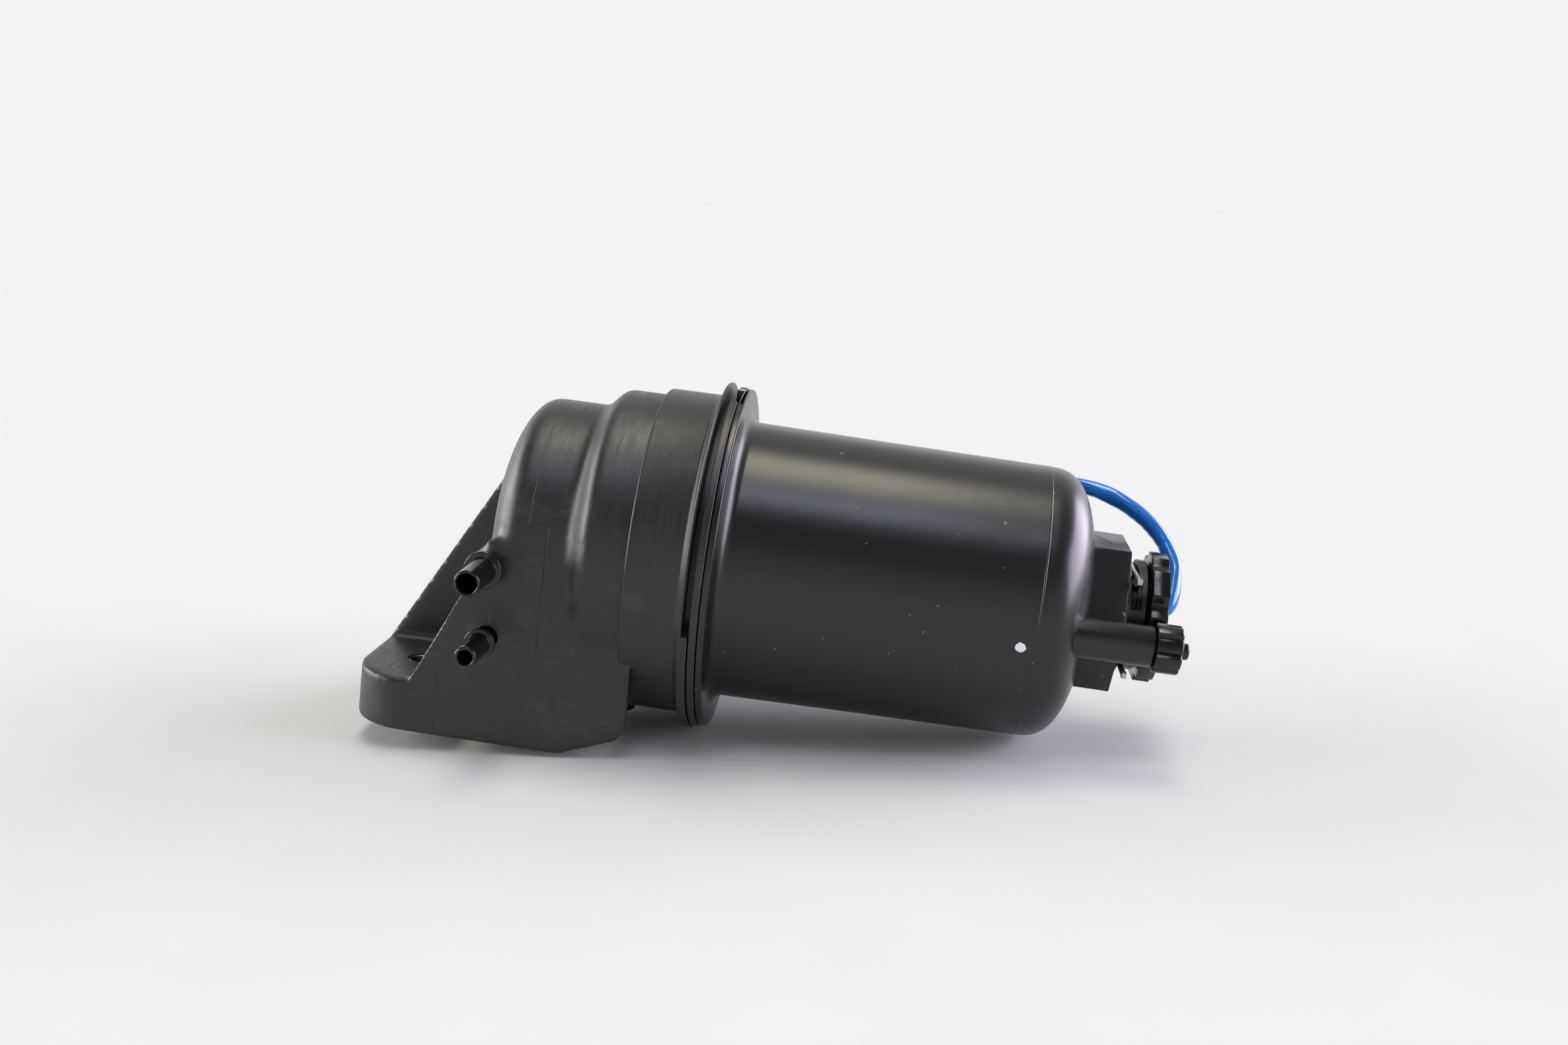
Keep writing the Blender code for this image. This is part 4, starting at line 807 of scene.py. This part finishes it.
def sensor_clip():
    """U-shaped clip of drawn wire: its legs' ends are pressed flat and square."""
    bend = [(CLIP_X, 19.0 + 17.6 * sin(a) * 0.45, 17.6 * cos(a)) for a in np.linspace(0, pi, 25)]
    points = [(CLIP_X, -22.9, 17.6), (CLIP_X, -18.0, 17.6)] + bend
    points += [(CLIP_X, -18.0, -17.6), (CLIP_X, -22.9, -17.6)]
    clip = tube_along("sensor_clip_skin", points, 1.12, 24)
    tips = [block("tip", (CLIP_X - 1.0, -24.0, side * 17.6 - 1.1), (CLIP_X + 1.0, -21.0, side * 17.6 + 1.1))
            for side in (-1, 1)]
    for tip in tips:
        soften(tip, 0.35, 3, lambda c, d: True)
    boolean(clip, tips, "UNION")
    return clip


def smooth_path(route, count):
    """Catmull-Rom curve through the route's points, read at equal steps of its length."""
    points = np.array(route)
    padded = np.vstack([2 * points[0] - points[1], points, 2 * points[-1] - points[-2]])
    dense = []
    for p0, p1, p2, p3 in zip(padded, padded[1:], padded[2:], padded[3:]):
        for t in np.linspace(0, 1, 24, endpoint=False):
            dense.append(0.5 * (2 * p1 + (p2 - p0) * t + (2 * p0 - 5 * p1 + 4 * p2 - p3) * t ** 2
                                + (3 * p1 - p0 - 3 * p2 + p3) * t ** 3))
    dense = np.array(dense + [points[-1]])
    length = np.concatenate([[0], np.cumsum(np.linalg.norm(np.diff(dense, axis=0), axis=1))])
    wanted = np.linspace(0, length[-1], count)
    return np.stack([np.interp(wanted, length, dense[:, k]) for k in range(3)], axis=1), wanted


def lead():
    """Thin sleeve drawn over two twisted wires: they bulge under it, and it wrinkles inside the bend."""
    path, along = smooth_path(LEAD_ROUTE, 420)
    sleeve = tube_along("sensor_lead_skin", path, 3.25, 48)
    mesh = sleeve.data
    ahead = np.gradient(path, axis=0)
    ahead /= np.linalg.norm(ahead, axis=1)[:, None]
    bend = np.gradient(ahead, axis=0)
    bend = np.array([np.convolve(bend[:, k], np.ones(25) / 25, "same") for k in range(3)]).T
    tight = np.linalg.norm(bend, axis=1)
    inner = bend / np.maximum(tight, 1e-9)[:, None]
    tight = tight / tight.max()
    for v in mesh.vertices:
        p = np.array(v.co) / MM
        k = int(np.argmin(np.sum((path - p) ** 2, axis=1)))
        out = p - path[k]
        out -= ahead[k] * np.dot(out, ahead[k])
        size = np.linalg.norm(out)
        if size < 0.5:
            continue
        out /= size
        side = np.cross(ahead[k], inner[k])
        angle = atan2(float(out @ side), float(out @ inner[k]))
        twist = 0.30 * cos(2 * angle - 2 * pi * along[k] / 30.0)
        inside = max(0.0, cos(angle)) ** 2 * tight[k]
        ripple = 0.42 * inside * sin(2 * pi * along[k] / 4.4 + 1.5 * sin(along[k] / 7.0) + angle)
        if 4 < along[k] < along[-1] - 3:
            v.co = Vector((path[k] + out * (size - 0.1 + 0.6 * twist + ripple)) * MM) + Vector(
                ahead[k] * float((p - path[k]) @ ahead[k])) * MM
    return sleeve


def around_axis(y, z):
    """Turn about the canister axis that brings local Z to a point of the lead, and its distance."""
    return Matrix.Rotation(-atan2(y, z), 4, "X"), hypot(y, z)


def turned_to(obj, matrix):
    obj.data.transform(matrix)
    obj.data.update()
    return obj


def lead_connector():
    """Two-way plug housing: rounded shell, grip ribs in a shallow recess on top, and a socket with two blades
    inside.
    """
    x, y, z = LEAD_ROUTE[-1]
    turn, r = around_axis(y, z)
    shell = block("lead_connector_skin", (x - 27.3, -6.5, r - 4.75), (x - 0.9, 6.5, r + 4.75))
    soften(shell, 1.2, 4, lambda c, d: abs(d.x) > 0.9)
    soften(shell, 0.4, 2, lambda c, d: abs(d.x) < 0.5)
    ribs = [block("rib", (x - 9.0 + 1.8 * k, -6.5, r + 4.0), (x - 8.2 + 1.8 * k, 6.5, r + 4.75))
            for k in range(3)]
    for rib in ribs:
        soften(rib, 0.2, 2, lambda c, d: True)
    boolean(shell, [block("relief", (x - 10.2, -8, r + 4.2), (x - 2.6, 8, r + 6))], "DIFFERENCE")
    boolean(shell, ribs, "UNION")
    boolean(shell, [block("socket", (x - 29, -5.2, r - 3.45), (x - 17.3, 5.2, r + 3.45))], "DIFFERENCE")
    blades = [block("blade", (x - 24.5, side * 2.4 - 0.4, r - 1.2), (x - 17.0, side * 2.4 + 0.4, r + 1.2))
              for side in (-1, 1)]
    boolean(shell, blades, "UNION")
    return turned_to(shell, turn)


def lead_clip():
    """Saddle on the bowl that the lead snaps into from outside, with flared lips."""
    path, _ = smooth_path(LEAD_ROUTE, 400)
    _, y, z = path[int(np.argmin(np.abs(path[:, 0] - 96.0)))]
    turn, r = around_axis(y, z)
    grip = [(3.85 * cos(a), r + 3.85 * sin(a)) for a in np.linspace(pi / 2 - 0.8, pi / 2 - 2 * pi + 0.8, 41)]
    outline = [(-5.45, 52.8), (5.45, 52.8), (5.45, r + 2.6), (2.34, grip[0][1] + 0.2)] + grip
    outline += [(-2.34, grip[-1][1] + 0.2), (-5.45, r + 2.6)]
    clip = outlined("lead_clip_skin", outline, "X", 93.5, 98.5)
    soften(clip, 0.25, 2, lambda c, d: abs(d.x) < 0.2 and (abs(c.x - 93.5) < 0.1 or abs(c.x - 98.5) < 0.1))
    return turned_to(clip, turn)


# ---------------------------------------------------------------- the whole scene
studio()
nylon = glass_filled_nylon()
satin = moulded_nylon()
gloss = polished_black("polished_black_plastic", "#0B0B0C", 0.13, 1.4)
fitting = polished_black("semi_gloss_black_plastic", "#0A0A0B", 0.2, 1.1)
wire = nickel_wire()
steel = turned_metal("zinc_plated_steel", "#7E8783", 0.34)
rubber = nitrile()
paper = filter_paper()
ivory = white_plastic()
blue = blue_sleeve()

settle(head(), "head", ["head_housing"], nylon, 40.0)
settle(standpipe(), "head", [], nylon)
settle(lock_ring(), "head", ["lock_ring"], nylon)
for label in SPIGOT_AT:
    settle(spigot(label), "head", [label], gloss)
for label, side in (("mounting_bush_near", -1), ("mounting_bush_far", 1)):
    settle(bush(label + "_skin", side), "head", [label], steel)
settle(bowl(), "bowl", ["bowl"], satin, 28.0)
settle(latch_finger(), "bowl", [], fitting)
settle(drain_knob(), "drain_valve", ["drain_knob"], fitting)
settle(drain_stem(), "drain_valve", ["drain_stem"], fitting)
settle(sensor_body(), "bowl", ["sensor_body"], fitting)
settle(sensor_clip(), "clip", ["sensor_clip"], wire)
settle(lead(), "bowl", ["sensor_lead"], blue, 60.0)
settle(lead_connector(), "bowl", ["lead_connector"], fitting)
settle(lead_clip(), "bowl", ["lead_clip"], fitting)

FINISHES = {"head_nylon": nylon, "bowl_nylon": satin, "spigot_plastic": gloss, "zinc_steel": steel,
            "nitrile_rubber": rubber, "filter_paper": paper, "element_plastic": ivory,
            "blue_sleeve": blue}
for entry in frame["record"]["subparts"]:
    mesh = frame["nodes"][entry["node"]].data
    mesh.materials.clear()
    mesh.materials.append(FINISHES[entry["material_slot"]])
